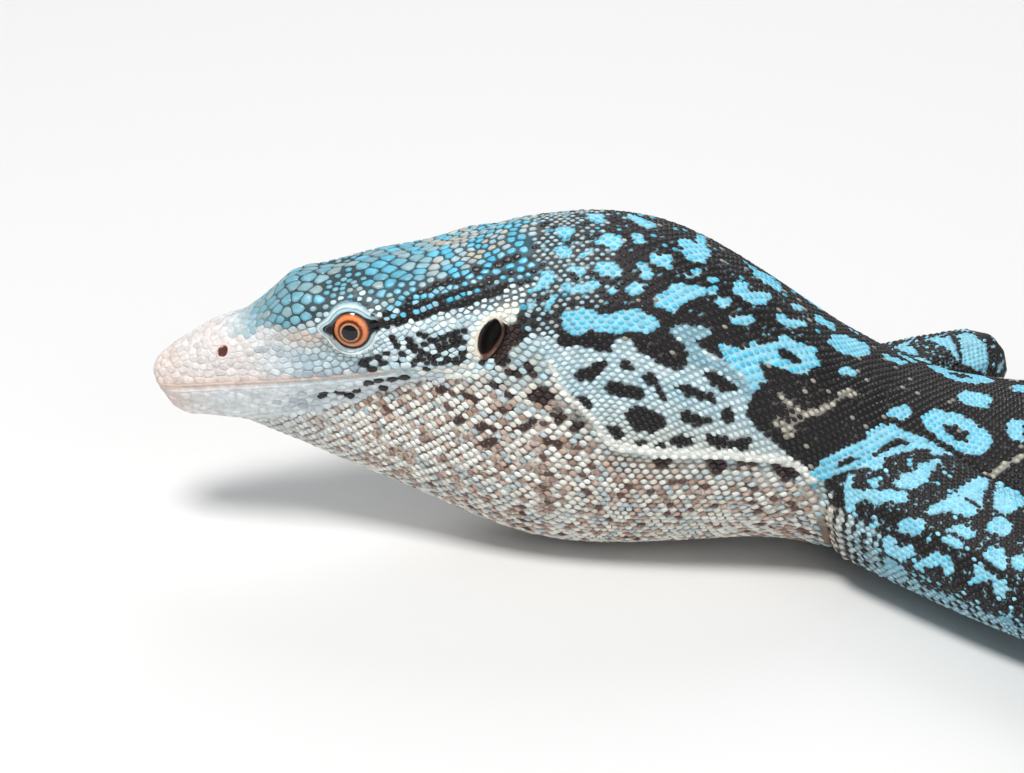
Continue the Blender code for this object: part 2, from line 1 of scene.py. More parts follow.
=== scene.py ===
"""Looks of a life-size blue-spotted tree monitor: one skin, a coat of solid scales, eyes, lids and claws.

Metres, +Z up, floor at z = 0. The snout points along -X and the animal's left side faces -Y.
"""

import functools
import math

import bmesh
import bpy
import numpy as np
from mathutils import Matrix, Vector
from mathutils.bvhtree import BVHTree
from mathutils.kdtree import KDTree


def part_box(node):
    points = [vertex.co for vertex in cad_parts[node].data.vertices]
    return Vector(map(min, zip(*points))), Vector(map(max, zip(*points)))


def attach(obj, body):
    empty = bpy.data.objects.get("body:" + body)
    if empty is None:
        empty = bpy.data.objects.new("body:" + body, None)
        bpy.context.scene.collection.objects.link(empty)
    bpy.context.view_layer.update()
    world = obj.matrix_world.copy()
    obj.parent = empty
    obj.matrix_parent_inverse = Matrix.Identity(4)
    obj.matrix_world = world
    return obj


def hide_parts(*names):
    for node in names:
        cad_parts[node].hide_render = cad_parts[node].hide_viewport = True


bl_info = {
    "name": "Blue-spotted tree monitor",
    "version": (1, 0, 0),
    "blender": (4, 5, 0),
    "location": "View3D > Sidebar > Monitor",
    "description": "Skin, scales, eyes and claws of a life-size tree monitor",
    "category": "Object",
}

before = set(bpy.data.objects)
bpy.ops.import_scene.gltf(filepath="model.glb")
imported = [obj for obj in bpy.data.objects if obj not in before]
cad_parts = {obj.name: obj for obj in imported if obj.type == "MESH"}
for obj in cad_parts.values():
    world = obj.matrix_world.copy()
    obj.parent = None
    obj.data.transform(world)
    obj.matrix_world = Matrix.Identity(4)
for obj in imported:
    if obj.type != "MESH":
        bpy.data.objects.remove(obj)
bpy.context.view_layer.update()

# The tip of the snout, which places everything else, and the tilt of the head.
SNOUT = Vector((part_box("head")[0].x, (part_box("eye_left")[0].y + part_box("eye_right")[1].y) / 2, 0.0295))
HEAD_PITCH = math.radians(10.0)
# How far behind the snout the head's own pieces end. The middle of an eye on the head's own axes, as in
# from_head, and its radius.
HEAD_REACH = 0.07
EYE_PLACE = (0.0369, 0.0067, 0.0087)
EYE_RADIUS = 0.0045

SIDES = ((-1, "left"), (1, "right"))
LIMBS = ("fore_left", "fore_right", "hind_left", "hind_right")
LIMB_PARTS = ("upper", "lower", "foot")
TRUNK = ("neck", "torso", "tail_root", "tail_front", "tail_middle", "tail_rear", "tail_tip")
FLESH = ("head", *TRUNK, *(f"{limb}_{part}" for limb in LIMBS for part in LIMB_PARTS))
# Numbers in FLESH, which each point of the skin keeps as its part. All parts of limbs have LIMB_FROM or more.
HEAD, NECK, TORSO, LIMB_FROM = (FLESH.index(name) for name in ("head", "neck", "torso", "fore_left_upper"))

# How many times each part of the skin is smoothed, which rounds off the flats of the solids under it.
SMOOTHING = {
    "head": 4,
    "neck": 26,
    "torso": 50,
    "tail_root": 40,
    "tail_front": 30,
    "tail_middle": 22,
    "tail_rear": 12,
    "tail_tip": 5,
    "upper": 26,
    "lower": 16,
    "foot": 3,
}

# The midline of the trunk, seen from above and from the side: behind the snout, y, height of its middle.
MIDLINE = (
    (0.0, 0.0, 0.0295),
    (0.030, 0.0, 0.0330),
    (0.060, 0.0, 0.0305),
    (0.085, -0.0002, 0.0297),
    (0.101, -0.0008, 0.0262),
    (0.116, -0.0016, 0.0198),
    (0.136, -0.0030, 0.0141),
    (0.165, -0.0052, 0.0137),
    (0.220, -0.0090, 0.0156),
    (0.275, -0.0125, 0.0141),
    (0.315, -0.0140, 0.0122),
    (0.390, -0.0100, 0.0081),
    (0.460, 0.0040, 0.0067),
    (0.540, 0.0210, 0.0055),
    (0.620, 0.0250, 0.0045),
    (0.700, 0.0100, 0.0036),
    (0.780, -0.0150, 0.0027),
    (0.860, -0.0300, 0.0019),
    (0.920, -0.0240, 0.0013),
    (0.950, -0.0130, 0.0009),
)


def linear(red, green, blue):
    """A colour as the eye sees it, turned into light."""
    values = np.array((red, green, blue), float)
    return np.where(values <= 0.04045, values / 12.92, ((values + 0.055) / 1.055) ** 2.4)


BLACK = linear(0.11, 0.085, 0.085)
TURQUOISE = linear(0.25, 0.73, 0.86)
PALE_BLUE = linear(0.70, 0.84, 0.88)
CREAM = linear(0.88, 0.85, 0.78)
BROWN = linear(0.42, 0.29, 0.25)
SNOUT_WHITE = linear(0.88, 0.855, 0.84)
LIP = linear(0.89, 0.77, 0.70)
CROWN = linear(0.46, 0.66, 0.71)
GREY_BLUE = linear(0.52, 0.60, 0.66)
WHITE = linear(0.93, 0.95, 0.94)


def length_setting(name, description, default):
    """A length that the panel shows."""
    return bpy.props.FloatProperty(
        name=name, description=description, default=default, unit="LENGTH", precision=5
    )


def colour_setting(name, description, default):
    """A colour that the panel shows."""
    return bpy.props.FloatVectorProperty(
        name=name, description=description, default=tuple(default), subtype="COLOR"
    )


class MonitorSettings(bpy.types.PropertyGroup):
    """Sizes, chances and colours that a user would change."""

    grain: length_setting("Grain", "Size of the skin's faces", 0.0006)
    coat_depth: length_setting("Coat depth", "How far the skin lies under the coat", 0.00028)
    unevenness: length_setting("Unevenness", "How far scales stray from their rows", 0.00004)
    relief: bpy.props.FloatProperty(
        name="Relief", description="How high the scales stand, 1 as in life", default=1.0, subtype="FACTOR"
    )
    seed: bpy.props.IntProperty(name="Seed", description="Which of many like coats is made", default=7)
    black: colour_setting("Black", "Ground colour of back and limbs", BLACK)
    turquoise: colour_setting("Turquoise", "Colour of spots and rings", TURQUOISE)
    pale_blue: colour_setting("Pale blue", "Colour of cheeks and sides", PALE_BLUE)
    cream: colour_setting("Cream", "Colour of the throat's beads", CREAM)


def settings():
    """The settings as the scene holds them."""
    return bpy.context.scene.monitor


def tones():
    """The black, turquoise, pale blue and cream of the settings."""
    made = settings()
    return (np.array(tuple(colour)) for colour in (made.black, made.turquoise, made.pale_blue, made.cream))


def linked(name, data):
    """A new object of this mesh, lamp or camera, in the scene."""
    obj = bpy.data.objects.new(name, data)
    bpy.context.scene.collection.objects.link(obj)
    return obj


def values_of(items, key, width=3, kind=np.float32):
    """A value of every point, edge or corner of a mesh, as the rows of a grid."""
    grid = np.empty(len(items) * width, kind)
    items.foreach_get(key, grid)
    return grid.reshape(-1, width)


def positions(mesh):
    """The points of a mesh, as rows."""
    return values_of(mesh.vertices, "co").astype(float)


def point_normals(mesh):
    """The normals at the points of a mesh."""
    return values_of(mesh.vertices, "normal").astype(float)


def place_points(mesh, grid):
    """Moves the points of a mesh to these rows."""
    mesh.vertices.foreach_set("co", np.asarray(grid, np.float32).ravel())
    mesh.update()


def to_head(points):
    """Distance behind the snout, out to the side and up from the mouth, on the head's own axes."""
    local = np.asarray(points, float) - np.array(SNOUT)
    c, s = math.cos(HEAD_PITCH), math.sin(HEAD_PITCH)
    along = local[:, 0] * c + local[:, 2] * s
    up = -local[:, 0] * s + local[:, 2] * c
    return along, local[:, 1], up


def from_head(along, side, up):
    """A point of the head, from its own axes to the scene's."""
    c, s = math.cos(HEAD_PITCH), math.sin(HEAD_PITCH)
    return SNOUT + Vector((along * c - up * s, side, along * s + up * c))


def smooth_line(table, step=0.001):
    """A table read along its first column on a smooth curve, as a dense grid for np.interp."""
    rows = np.asarray(table, float)
    keys = rows[:, 0]
    slopes = np.gradient(rows, keys, axis=0)
    at = np.append(np.arange(keys[0], keys[-1], step), keys[-1])
    i = np.clip(np.searchsorted(keys, at, side="right") - 1, 0, len(keys) - 2)
    span = (keys[i + 1] - keys[i])[:, None]
    t = (at - keys[i])[:, None] / span
    return (
        rows[i] * (2 * t**3 - 3 * t**2 + 1)
        + slopes[i] * span * (t**3 - 2 * t**2 + t)
        + rows[i + 1] * (3 * t**2 - 2 * t**3)
        + slopes[i + 1] * span * (t**3 - t**2)
    )


LINE = smooth_line(MIDLINE)
LEAN = np.gradient(LINE[:, 1], LINE[:, 0])


def to_trunk(points):
    """Distance along the trunk, offset to the animal's right of its midline, and height over its middle."""
    x = points[:, 0] - SNOUT.x
    y = points[:, 1] - SNOUT.y
    along = x.copy()
    for _ in range(3):
        lean = np.interp(along, LINE[:, 0], LEAN)
        along = x + (y - np.interp(along, LINE[:, 0], LINE[:, 1])) * lean
    lean = np.interp(along, LINE[:, 0], LEAN)
    off = (y - np.interp(along, LINE[:, 0], LINE[:, 1])) * np.sqrt(1 + lean**2)
    return along, off, points[:, 2] - np.interp(along, LINE[:, 0], LINE[:, 2])


# The skin

# How far the solids are swollen so that the gaps between them close.
SWELLING = 0.0002
# How often the counts in SMOOTHING are averaged between parts, and the pull in and push out of each pass.
BLENDING = 30
PULLS = (0.5, -0.52)
# The least height of the skin over the floor.
FLOOR_GAP = 0.0001
# Height in metres and half width in millimetres of the neck's folds: the ridge along FOLD_LINE, the groove
# below it and the seam along SHOULDER_SEAM. Then how many millimetres below the ridge the groove runs, and
# the height of the wrinkles by the arm.
RIDGE, GROOVE, SEAM = (0.00050, 0.9), (0.00035, 1.0), (0.00070, 0.9)
GROOVE_BELOW = 2.0
WRINKLE_HEIGHT = 0.00022


def joined_flesh():
    """One mesh of all the solids of flesh, swollen just enough to close the thin gaps between them."""
    bm = bmesh.new()
    for name in FLESH:
        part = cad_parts[name].data.copy()
        place_points(part, positions(part) + SWELLING * values_of(part.vertices, "normal"))
        bm.from_mesh(part)
        bpy.data.meshes.remove(part)
    bmesh.ops.remove_doubles(bm, verts=bm.verts, dist=1e-6)
    mesh = bpy.data.meshes.new("skin")
    bm.to_mesh(mesh)
    bm.free()
    mesh.materials.clear()
    return mesh


def remeshed(mesh, grain):
    """An even net of faces over the outside of a mesh."""
    obj = linked("skin", mesh)
    modifier = obj.modifiers.new("net", "REMESH")
    modifier.mode = "VOXEL"
    modifier.voxel_size = grain
    bpy.context.view_layer.update()
    shaped = obj.evaluated_get(bpy.context.evaluated_depsgraph_get())
    net = bpy.data.meshes.new_from_object(shaped)
    obj.modifiers.clear()
    obj.data = net
    bpy.data.meshes.remove(mesh)
    return obj


def nearest_parts(points):
    """For each point, the number in FLESH of the solid that it lies on."""
    vertices, faces, owner = [], [], []
    for number, name in enumerate(FLESH):
        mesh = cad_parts[name].data
        first = len(vertices)
        vertices += [tuple(v.co) for v in mesh.vertices]
        for polygon in mesh.polygons:
            faces.append([first + k for k in polygon.vertices])
            owner.append(number)
    tree = BVHTree.FromPolygons(vertices, faces)
    return np.array([owner[tree.find_nearest(p)[2]] for p in points.tolist()])


def links(mesh):
    """The two ends of every edge."""
    return values_of(mesh.edges, "vertices", 2, np.int32)


def degrees_up(off, height):
    """Degrees up from the side of the trunk, the same on left and right."""
    return np.degrees(np.arctan2(height, np.abs(off)))


def rise(values, start, width):
    """A share that grows from 0 to 1 over this width past the start."""
    return np.clip((values - start) / width, 0, 1)


def fall(values, end, width):
    """A share that falls from 1 to 0 over this width before the end."""
    return np.clip((end - values) / width, 0, 1)


def wrinkle_wave(mm, arc):
    """The waves of the wrinkles before the arm, between -1 and 1, slanting back towards the belly."""
    return np.sin(2 * math.pi * (mm + 0.22 * arc) / 2.2)


def averaged(values, ends, count):
    """Each point's mean over its neighbours along the edges."""
    total = np.empty_like(values)
    a, b = ends[:, 0], ends[:, 1]
    for k in range(values.shape[1]):
        column = values[:, k]
        total[:, k] = np.bincount(a, column[b], len(values)) + np.bincount(b, column[a], len(values))
    return total / count[:, None]


def smoothed(points, ends, passes):
    """Rounds off a net without shrinking it. passes says how often each point takes part."""
    count = np.maximum(np.bincount(ends.ravel(), minlength=len(points)), 1)
    passes = passes.astype(float)[:, None]
    for _ in range(BLENDING):
        passes = averaged(passes, ends, count)
    for k in range(int(passes.max()) + 1):
        share = np.clip(passes - k, 0.0, 1.0)
        for pull in PULLS:
            points = points + share * pull * (averaged(points, ends, count) - points)
    return points


def unit(rows):
    """Directions brought to length 1."""
    return rows / np.maximum(np.linalg.norm(rows, axis=-1, keepdims=True), 1e-12)


def folds(points):
    """How far the skin stands out in its folds behind the jaw, before the shoulder and by the arm."""
    along, off, height = to_trunk(points)
    mm, turn = along * 1000, degrees_up(off, height)
    arc = np.radians(turn) * GIRTH
    ridge = path_gap(mm, arc, on_neck(FOLD_LINE))
    groove = path_gap(mm, arc + GROOVE_BELOW, on_neck(FOLD_LINE))
    seam = path_gap(mm, arc, on_neck(SHOULDER_SEAM))
    raised = RIDGE[0] * np.exp(-((ridge / RIDGE[1]) ** 2)) - GROOVE[0] * np.exp(-((groove / GROOVE[1]) ** 2))
    raised -= SEAM[0] * np.exp(-((seam / SEAM[1]) ** 2))
    wrinkled = rise(mm, 109, 4) * fall(mm, 128, 6) * fall(turn, 4, 14)
    raised += WRINKLE_HEIGHT * wrinkled * wrinkle_wave(mm, arc)
    return np.where((mm > 58) & (mm < 132), raised, 0.0)


def make_skin():
    """The skin over all the flesh, inside the solids by the depth of the coat."""
    made = settings()
    obj = remeshed(joined_flesh(), made.grain)
    mesh = obj.data
    points = positions(mesh)
    part = nearest_parts(points)
    rounds = np.array([SMOOTHING.get(name, SMOOTHING.get(name.split("_")[-1])) for name in FLESH])
    ends = links(mesh)
    points = smoothed(points, ends, rounds[part])
    place_points(mesh, points)
    folded = np.isin(part, part_numbers("head", "neck", "torso", "fore_left_upper", "fore_right_upper"))
    raised = np.where(folded, folds(points), 0.0)
    points += point_normals(mesh) * (raised - made.coat_depth - SWELLING)[:, None]
    points[:, 2] = np.maximum(points[:, 2], FLOOR_GAP)
    place_points(mesh, points)
    mesh.attributes.new("part", "INT", "POINT").data.foreach_set("value", part.astype(np.int32))
    mesh.shade_smooth()
    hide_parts(*FLESH)
    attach(obj, "root")
    read_skin.cache_clear()


# The coat of scales

# The lines of the limbs behind the snout: root, bend, wrist or ankle, and the way that the foot points.
LIMB_LINES = {
    "fore_left": ((0.1215, -0.013, 0.0155), (0.151, -0.0432, 0.0125), (0.156, -0.073, 0.0058), (0.12, -1.0)),
    "fore_right": ((0.122, 0.010, 0.017), (0.141, 0.0305, 0.015), (0.117, 0.044, 0.0058), (-0.8, 0.6)),
    "hind_left": ((0.292, -0.020, 0.014), (0.268, -0.056, 0.016), (0.300, -0.079, 0.0064), (-0.42, -0.9)),
    "hind_right": ((0.292, -0.006, 0.014), (0.281, 0.033, 0.016), (0.318, 0.046, 0.0064), (0.25, 0.97)),
}

# Rows of scales along the trunk: behind the snout, from scale to scale in a row, and from row to row.
ROWS = (
    (0.010, 0.00145, 0.00080),
    (0.060, 0.00145, 0.00084),
    (0.075, 0.00136, 0.00080),
    (0.110, 0.00140, 0.00084),
    (0.150, 0.00150, 0.00100),
    (0.200, 0.00165, 0.00118),
    (0.300, 0.00165, 0.00115),
    (0.420, 0.00165, 0.00105),
    (0.700, 0.00160, 0.00085),
    (0.950, 0.00120, 0.00060),
)
ROWS_FROM, ROWS_TO = 0.0115, 0.9495
# Where rows counted from belly and from back meet: behind the snout, and degrees up from the side.
ROWS_MEET = (
    (0.0, 80.0), (0.060, 80.0), (0.0661, 40.0), (0.0679, 28.0), (0.0723, 12.0), (0.0757, -3.4),
    (0.0785, -9.2), (0.0880, -8.1), (0.1000, -0.6), (0.1075, 6.0), (0.125, -30.0), (0.95, -50.0),
)
# On limbs, from scale to scale in a row and from row to row, and where the rows meet.
LIMB_ROW = (0.00125, 0.00078)
LIMB_ROWS_MEET = -55.0
# What is added to the numbers of rows counted from the back, on the right side, and for each bone.
BACK_ROWS, RIGHT_ROWS, BONE_ROWS = 200, 500, 1000
# The least distance from row to row, and the most from a scale to the next in its row.
LEAST_APART = 0.00055
ROW_REACH = 0.0026
# How much larger the scales of the rows counted from the belly are: behind the snout, along and across them.
THROAT_GROWTH = (
    (0.030, 0.95, 1.10),
    (0.050, 1.02, 1.18),
    (0.072, 1.24, 1.36),
    (0.112, 1.24, 1.36),
    (0.128, 1.0, 1.0),
)

# The upper edge of the rows: behind the snout, and up from the mouth. Above it stand plates and granules.
EDGE_OF_ROWS = (
    (0.0000, -0.0088),
    (0.0190, -0.0088),
    (0.0270, -0.0076),
    (0.0330, -0.0062),
    (0.0390, -0.0042),
    (0.0430, -0.0029),
    (0.0460, -0.0020),
    (0.0540, -0.0016),
    (0.0570, -0.0006),
    (0.0600, 0.0010),
    (0.0625, 0.0040),
    (0.0645, 0.0090),
    (0.0680, 0.0130),
    (0.0710, 0.0300),
)
# How much closer the head's plates stand side by side than one behind the other.
PLATE_STRETCH = 0.72
# From scale to scale where no rows run: on the head, and by how much more on the crown and less at its
# back, then within EYE_RING of the eye, on the temple, along the lips and on the feet.
GRANULE, CROWN_MORE, BACK_LESS = 0.00115, 0.00115, 0.00095
BY_EYE, TEMPLE, LIP_PLATE, FOOT = 0.00085, 0.00095, 0.00145, 0.00100
EYE_RING = 0.0066
# How close scattered places may stand to the rows and to one another, as shares of that distance, the grid
# that finds close ones, and how often they are settled.
ROOM_BY_ROWS, ROOM = 0.78, 0.72
CELL = 0.0024
SETTLING_ROUNDS = 5
# How many neighbours shape a scale's outline.
NEIGHBOURS = 11
# How far the rim of a scale is sunk in the skin.
RIM_SINK = 0.00014


class Ground:
    """The skin as the coat reads it: where it is, which way it faces, and what part of the body it is."""

    def __init__(self, obj):
        mesh = obj.data
        self.points = positions(mesh)
        self.part = np.empty(len(self.points), np.int32)
        mesh.attributes["part"].data.foreach_get("value", self.part)
        ends = links(mesh)
        count = np.maximum(np.bincount(ends.ravel(), minlength=len(self.points)), 1)
        self.normals = point_normals(mesh)
        for _ in range(6):
            self.normals = unit(self.normals + averaged(self.normals, ends, count))
        self.faces = values_of(mesh.loops, "vertex_index", 1, np.int32).reshape(-1, 4)
        self.tree = BVHTree.FromPolygons(self.points.tolist(), self.faces.tolist())
        self.near = tree_of(self.points)

    def nearest(self, points):
        """The number of the skin point nearest to each point."""
        return np.array([self.near.find(p)[1] for p in points.tolist()])

    def on_skin(self, points):
        """Each point moved to the skin nearest to it."""
        return np.array([tuple(self.tree.find_nearest(p)[0]) for p in points.tolist()])

    def ring(self, middle, axis, width, allowed, odd, meeting, lower=True, upper=True):
        """Where every other row crosses the plane square to an axis, on the allowed parts of the body.

        width is the distance between rows. On each side, the lower ones are counted from the lowest line up
        to the meeting angle, and the upper ones from the highest line down to it. Each place comes with its
        row's number.
        """
        across = axis.cross(Vector((0, 0, 1))).normalized()
        upward = across.cross(axis).normalized()
        turns = np.linspace(-90, 90, 61)
        places = []
        for side in (-1, 1):
            hits, parts = [], []
            for turn in np.radians(turns):
                way = across * (side * math.cos(turn)) + upward * math.sin(turn)
                place, _, face, _ = self.tree.ray_cast(middle, way)
                if place is None:
                    return np.empty((0, 4))
                hits.append(place)
                parts.append(self.part[self.faces[face][0]])
            hits = np.array(hits)
            steps = np.linalg.norm(np.diff(hits, axis=0), axis=1)
            run = np.concatenate([[0], np.cumsum(steps) / width])
            meet = np.interp(meeting, turns, run)
            first = odd if side < 0 else 2 - odd
            low = np.arange(first, meet if lower else 0, 2)
            high = np.arange(first, run[-1] - meet if upper else 0, 2)
            wanted = np.concatenate([low, run[-1] - high])
            number = np.concatenate([low, BACK_ROWS + high]) + (RIGHT_ROWS if side > 0 else 0)
            owners = np.array(parts)[np.clip(np.searchsorted(run, wanted), 0, len(parts) - 1)]
            found = np.stack([*(np.interp(wanted, run, hits[:, k]) for k in range(3)), number], axis=1)
            places.append(found[np.isin(owners, allowed)])
        return np.vstack(places)


def tree_of(points):
    """A tree that finds the nearest of these points."""
    tree = KDTree(len(points))
    for i, p in enumerate(points.tolist()):
        tree.insert(p, i)
    tree.balance()
    return tree


def part_numbers(*names):
    """The numbers in FLESH of these parts."""
    return [number for number, name in enumerate(FLESH) if name in names]


def on_limbs(part, *limbs):
    """Which of these part numbers belong to some limbs."""
    return np.isin(part, part_numbers(*(f"{limb}_{name}" for limb in limbs for name in LIMB_PARTS)))


def row_at(table, at):
    """The further columns of a table where its first column reads this."""
    first, *others = np.asarray(table).T
    return [float(np.interp(at, first, column)) for column in others]


def on_midline(at):
    """The point of the midline so far behind the snout."""
    return Vector((at, *row_at(LINE, at)))


def above_rows(points):
    """How far each place lies above or before the edge of the rows. It is below 0 among them."""
    along, _, up = to_head(points)
    edge = np.interp(along + 0.0012 * wobble(points, 0.006), *zip(*EDGE_OF_ROWS))
    return np.where(along > EDGE_OF_ROWS[-1][0], -1.0, up - edge)


def throat_share(along, off, height):
    """How far a place on the neck belongs to the puffed throat, from 0 to 1."""
    ends = (0.0, 0.050, 0.056, 0.062, 0.069, 0.075, 0.084, 0.105, 0.125)
    edge = np.interp(along, ends, (60, 60, 28, 2, -8, -13, -18, -16, -30))
    return np.clip((edge - degrees_up(off, height)) / 9 + 0.5, 0, 1) * fall(along, 0.128, 0.012)


def sized(places, length, width):
    """Places in a ring with the size of their scales added to each."""
    return np.hstack([places, np.full((len(places), 2), (length, width))])


def trunk_rows(ground):
    """Where the scales of neck, torso and tail sit, in rings, each half a scale behind the last."""
    allowed = part_numbers("head", *TRUNK)
    found = []
    for lower in (True, False):
        at, odd = ROWS_FROM, 0
        while at < ROWS_TO:
            length, width = row_at(ROWS, at)
            if lower:
                longer, wider = row_at(THROAT_GROWTH, at)
                length, width = length * longer, width * wider
            here = on_midline(at)
            axis = on_midline(at + 0.004) - here
            if at < HEAD_REACH:
                axis.z = 0
            middle = Vector((SNOUT.x + here.x, SNOUT.y + here.y, here.z))
            (meeting,) = row_at(ROWS_MEET, at)
            places = ground.ring(middle, axis.normalized(), width, allowed, odd, meeting, lower, not lower)
            found.append(sized(places, length, width))
            at += length / 2
            odd = 1 - odd
    return np.vstack(found)


def limb_rows(ground):
    """Where the scales of the upper and lower limbs sit."""
    length, width = LIMB_ROW
    start = Vector((SNOUT.x, SNOUT.y, 0))
    found = []
    for limb, line in LIMB_LINES.items():
        allowed = part_numbers(f"{limb}_upper", f"{limb}_lower")
        joints = [start + Vector(p) for p in line[:3]]
        for a, b in zip(joints, joints[1:]):
            axis = (b - a).normalized()
            steps = int((b - a).length / (length / 2))
            first = BONE_ROWS * (len(found) + 1)
            for number in range(steps + 1):
                middle = a + axis * ((b - a).length * number / steps)
                places = ground.ring(middle, axis, width, allowed, number % 2, LIMB_ROWS_MEET)
                found.append(sized(places + (0, 0, 0, first), length, width))
    return np.vstack(found)


def row_ways(rows):
    """The way from each scale to the next in its row, or nothing where a row ends."""
    order = np.lexsort((np.arange(len(rows)), rows[:, 3]))
    places, number = rows[order, :3], rows[order, 3]
    step = places[1:] - places[:-1]
    joined = (number[1:] == number[:-1]) & (np.linalg.norm(step, axis=1) < ROW_REACH)
    step = step * joined[:, None]
    ways = np.zeros_like(places)
    ways[:-1] += step
    ways[1:] += step
    found = np.empty_like(ways)
    found[order] = ways
    return found


def scale_spacing(points, part):
    """How far apart the scales stand where they don't lie in rows: on the head, the nape and the feet."""
    along, side, up = to_head(points)
    crown = rise(up, 0.0100, 0.003) * fall(np.abs(side), 0.0125, 0.003)
    size = GRANULE + CROWN_MORE * crown * rise(along, 0.016, 0.006)
    size = size - BACK_LESS * rise(along, 0.045, 0.010) * crown
    temple = (along > 0.0385) & (up > 0.001) & (up < 0.0145 - 0.3 * np.clip(0.047 - along, 0, 1))
    size = np.where(temple, TEMPLE, size)
    size = np.where(np.hypot(along - EYE_PLACE[0], up - EYE_PLACE[2]) < EYE_RING, BY_EYE, size)
    size = np.where((np.abs(up) < 0.0030) & (along < 0.045), LIP_PLATE, size)
    return np.where(part <= NECK, size, FOOT)


def squashed(points):
    """The head's places pressed together along it, so that plates spaced evenly here come out long."""
    along, _, _ = to_head(points)
    back = np.array(from_head(1, 0, 0) - from_head(0, 0, 0))
    share = np.where(points[:, 0] - SNOUT.x < 0.085, along, 0.0)
    return points - (1 - PLATE_STRETCH) * share[:, None] * back


def scattered(ground, taken, chance):
    """Places for scales wherever the rows leave the skin bare, spaced as the place asks."""
    placed = tree_of(squashed(taken))
    order = chance.permutation(np.flatnonzero(ground.open))
    points = ground.points[order]
    spacing = scale_spacing(points, ground.part[order])
    grid = {}
    kept = []
    around = [(dx, dy, dz) for dx in (-1, 0, 1) for dy in (-1, 0, 1) for dz in (-1, 0, 1)]
    for i, p, size in zip(order.tolist(), squashed(points).tolist(), spacing.tolist()):
        if placed.find(p)[2] < size * ROOM_BY_ROWS:
            continue
        x, y, z = (math.floor(value / CELL) for value in p)
        close = (q for dx, dy, dz in around for q in grid.get((x + dx, y + dy, z + dz), ()))
        if all(math.dist(p, q[:3]) > ROOM * max(size, q[3]) for q in close):
            grid.setdefault((x, y, z), []).append((*p, size))
            kept.append((*ground.points[i], size))
    return np.array(kept)


def settled(ground, places, fixed):
    """Moves scattered places to the middle of the skin that is nearest to them, so that they stand evenly."""
    loose = ground.points[ground.open]
    pressed = squashed(loose).tolist()
    for _ in range(SETTLING_ROUNDS):
        tree = tree_of(squashed(np.vstack([places, fixed])))
        owner = np.array([tree.find(p)[1] for p in pressed])
        mine = owner < len(places)
        total = np.bincount(owner[mine], minlength=len(places))
        sums = [np.bincount(owner[mine], loose[mine, k], len(places)) for k in range(3)]
        moved = total > 3
        middle = np.stack(sums, axis=1)[moved] / total[moved][:, None]
        places[moved] = ground.on_skin(middle)
    return places


def drop_crowded(points, least):
    """Keeps each place only if no earlier one stands too close. The later of a pair goes."""
    tree = tree_of(points)
    gone = np.zeros(len(points), bool)
    for i, p in enumerate(points.tolist()):
        if not gone[i]:
            for _, j, _ in tree.find_range(p, least):
                if j > i:
                    gone[j] = True
    return ~gone


def lie_of(points, normals, part):
    """The way that each scale points: back along head and trunk, and out along each limb."""
    way = np.zeros_like(points)
    at = np.clip(points[:, 0] - SNOUT.x, 0.0, 0.95)
    way[:, 0] = 1.0
    way[:, 1] = np.interp(at, LINE[:, 0], LEAN)
    way[:, 2] = np.where(at > HEAD_REACH, np.interp(at, LINE[:, 0], np.gradient(LINE[:, 2], LINE[:, 0])), 0.0)
    head = part == HEAD
    way[head] = np.array(from_head(1, 0, 0) - from_head(0, 0, 0))
    for limb, (root, bend, wrist, heading) in LIMB_LINES.items():
        ways = (Vector(bend) - Vector(root), Vector(wrist) - Vector(bend), Vector((*heading, 0)))
        for name, direction in zip(LIMB_PARTS, ways):
            mine = np.isin(part, part_numbers(f"{limb}_{name}"))
            way[mine] = tuple(direction.normalized())
    way -= normals * (way * normals).sum(1, keepdims=True)
    return unit(way)


def scale_outlines(points, normals, lie, half_long, half_wide, stretch, sides, gap):
    """How far each scale reaches in each of a few directions: half way to its neighbours, less the gap.

    Directions start along the lie and turn towards the normal's right-hand side. A stretch below 1 makes a
    scale longer than its neighbours' distances alone would.
    """
    across = np.cross(normals, lie)
    turns = 2 * np.pi * np.arange(sides) / sides
    c, s = np.cos(turns), np.sin(turns)
    limit = 1 / np.sqrt((c[None] / half_long[:, None]) ** 2 + (s[None] / half_wide[:, None]) ** 2)
    tree = tree_of(points)
    close = np.array([[j for _, j, _ in tree.find_n(p, NEIGHBOURS + 1)] for p in points.tolist()])
    radius = limit.copy()
    for k in range(1, NEIGHBOURS + 1):
        apart = points[close[:, k]] - points
        u = (apart * lie).sum(1) * stretch
        v = (apart * across).sum(1)
        lift = (apart**2).sum(1) - (apart * lie).sum(1) ** 2 - v**2
        square = u**2 + v**2 + np.maximum(lift, 0)
        longer = np.sqrt(square / np.maximum(u**2 + v**2, 1e-14))
        toward_next = ((u * stretch)[:, None] * c[None] + v[:, None] * s[None]) * longer[:, None]
        bound = np.where(toward_next > 1e-7, square[:, None] / 2 / np.maximum(toward_next, 1e-7), 1.0)
        radius = np.minimum(radius, bound)
    return np.maximum(np.minimum(radius - gap[:, None] / 2, limit), 0.0001)


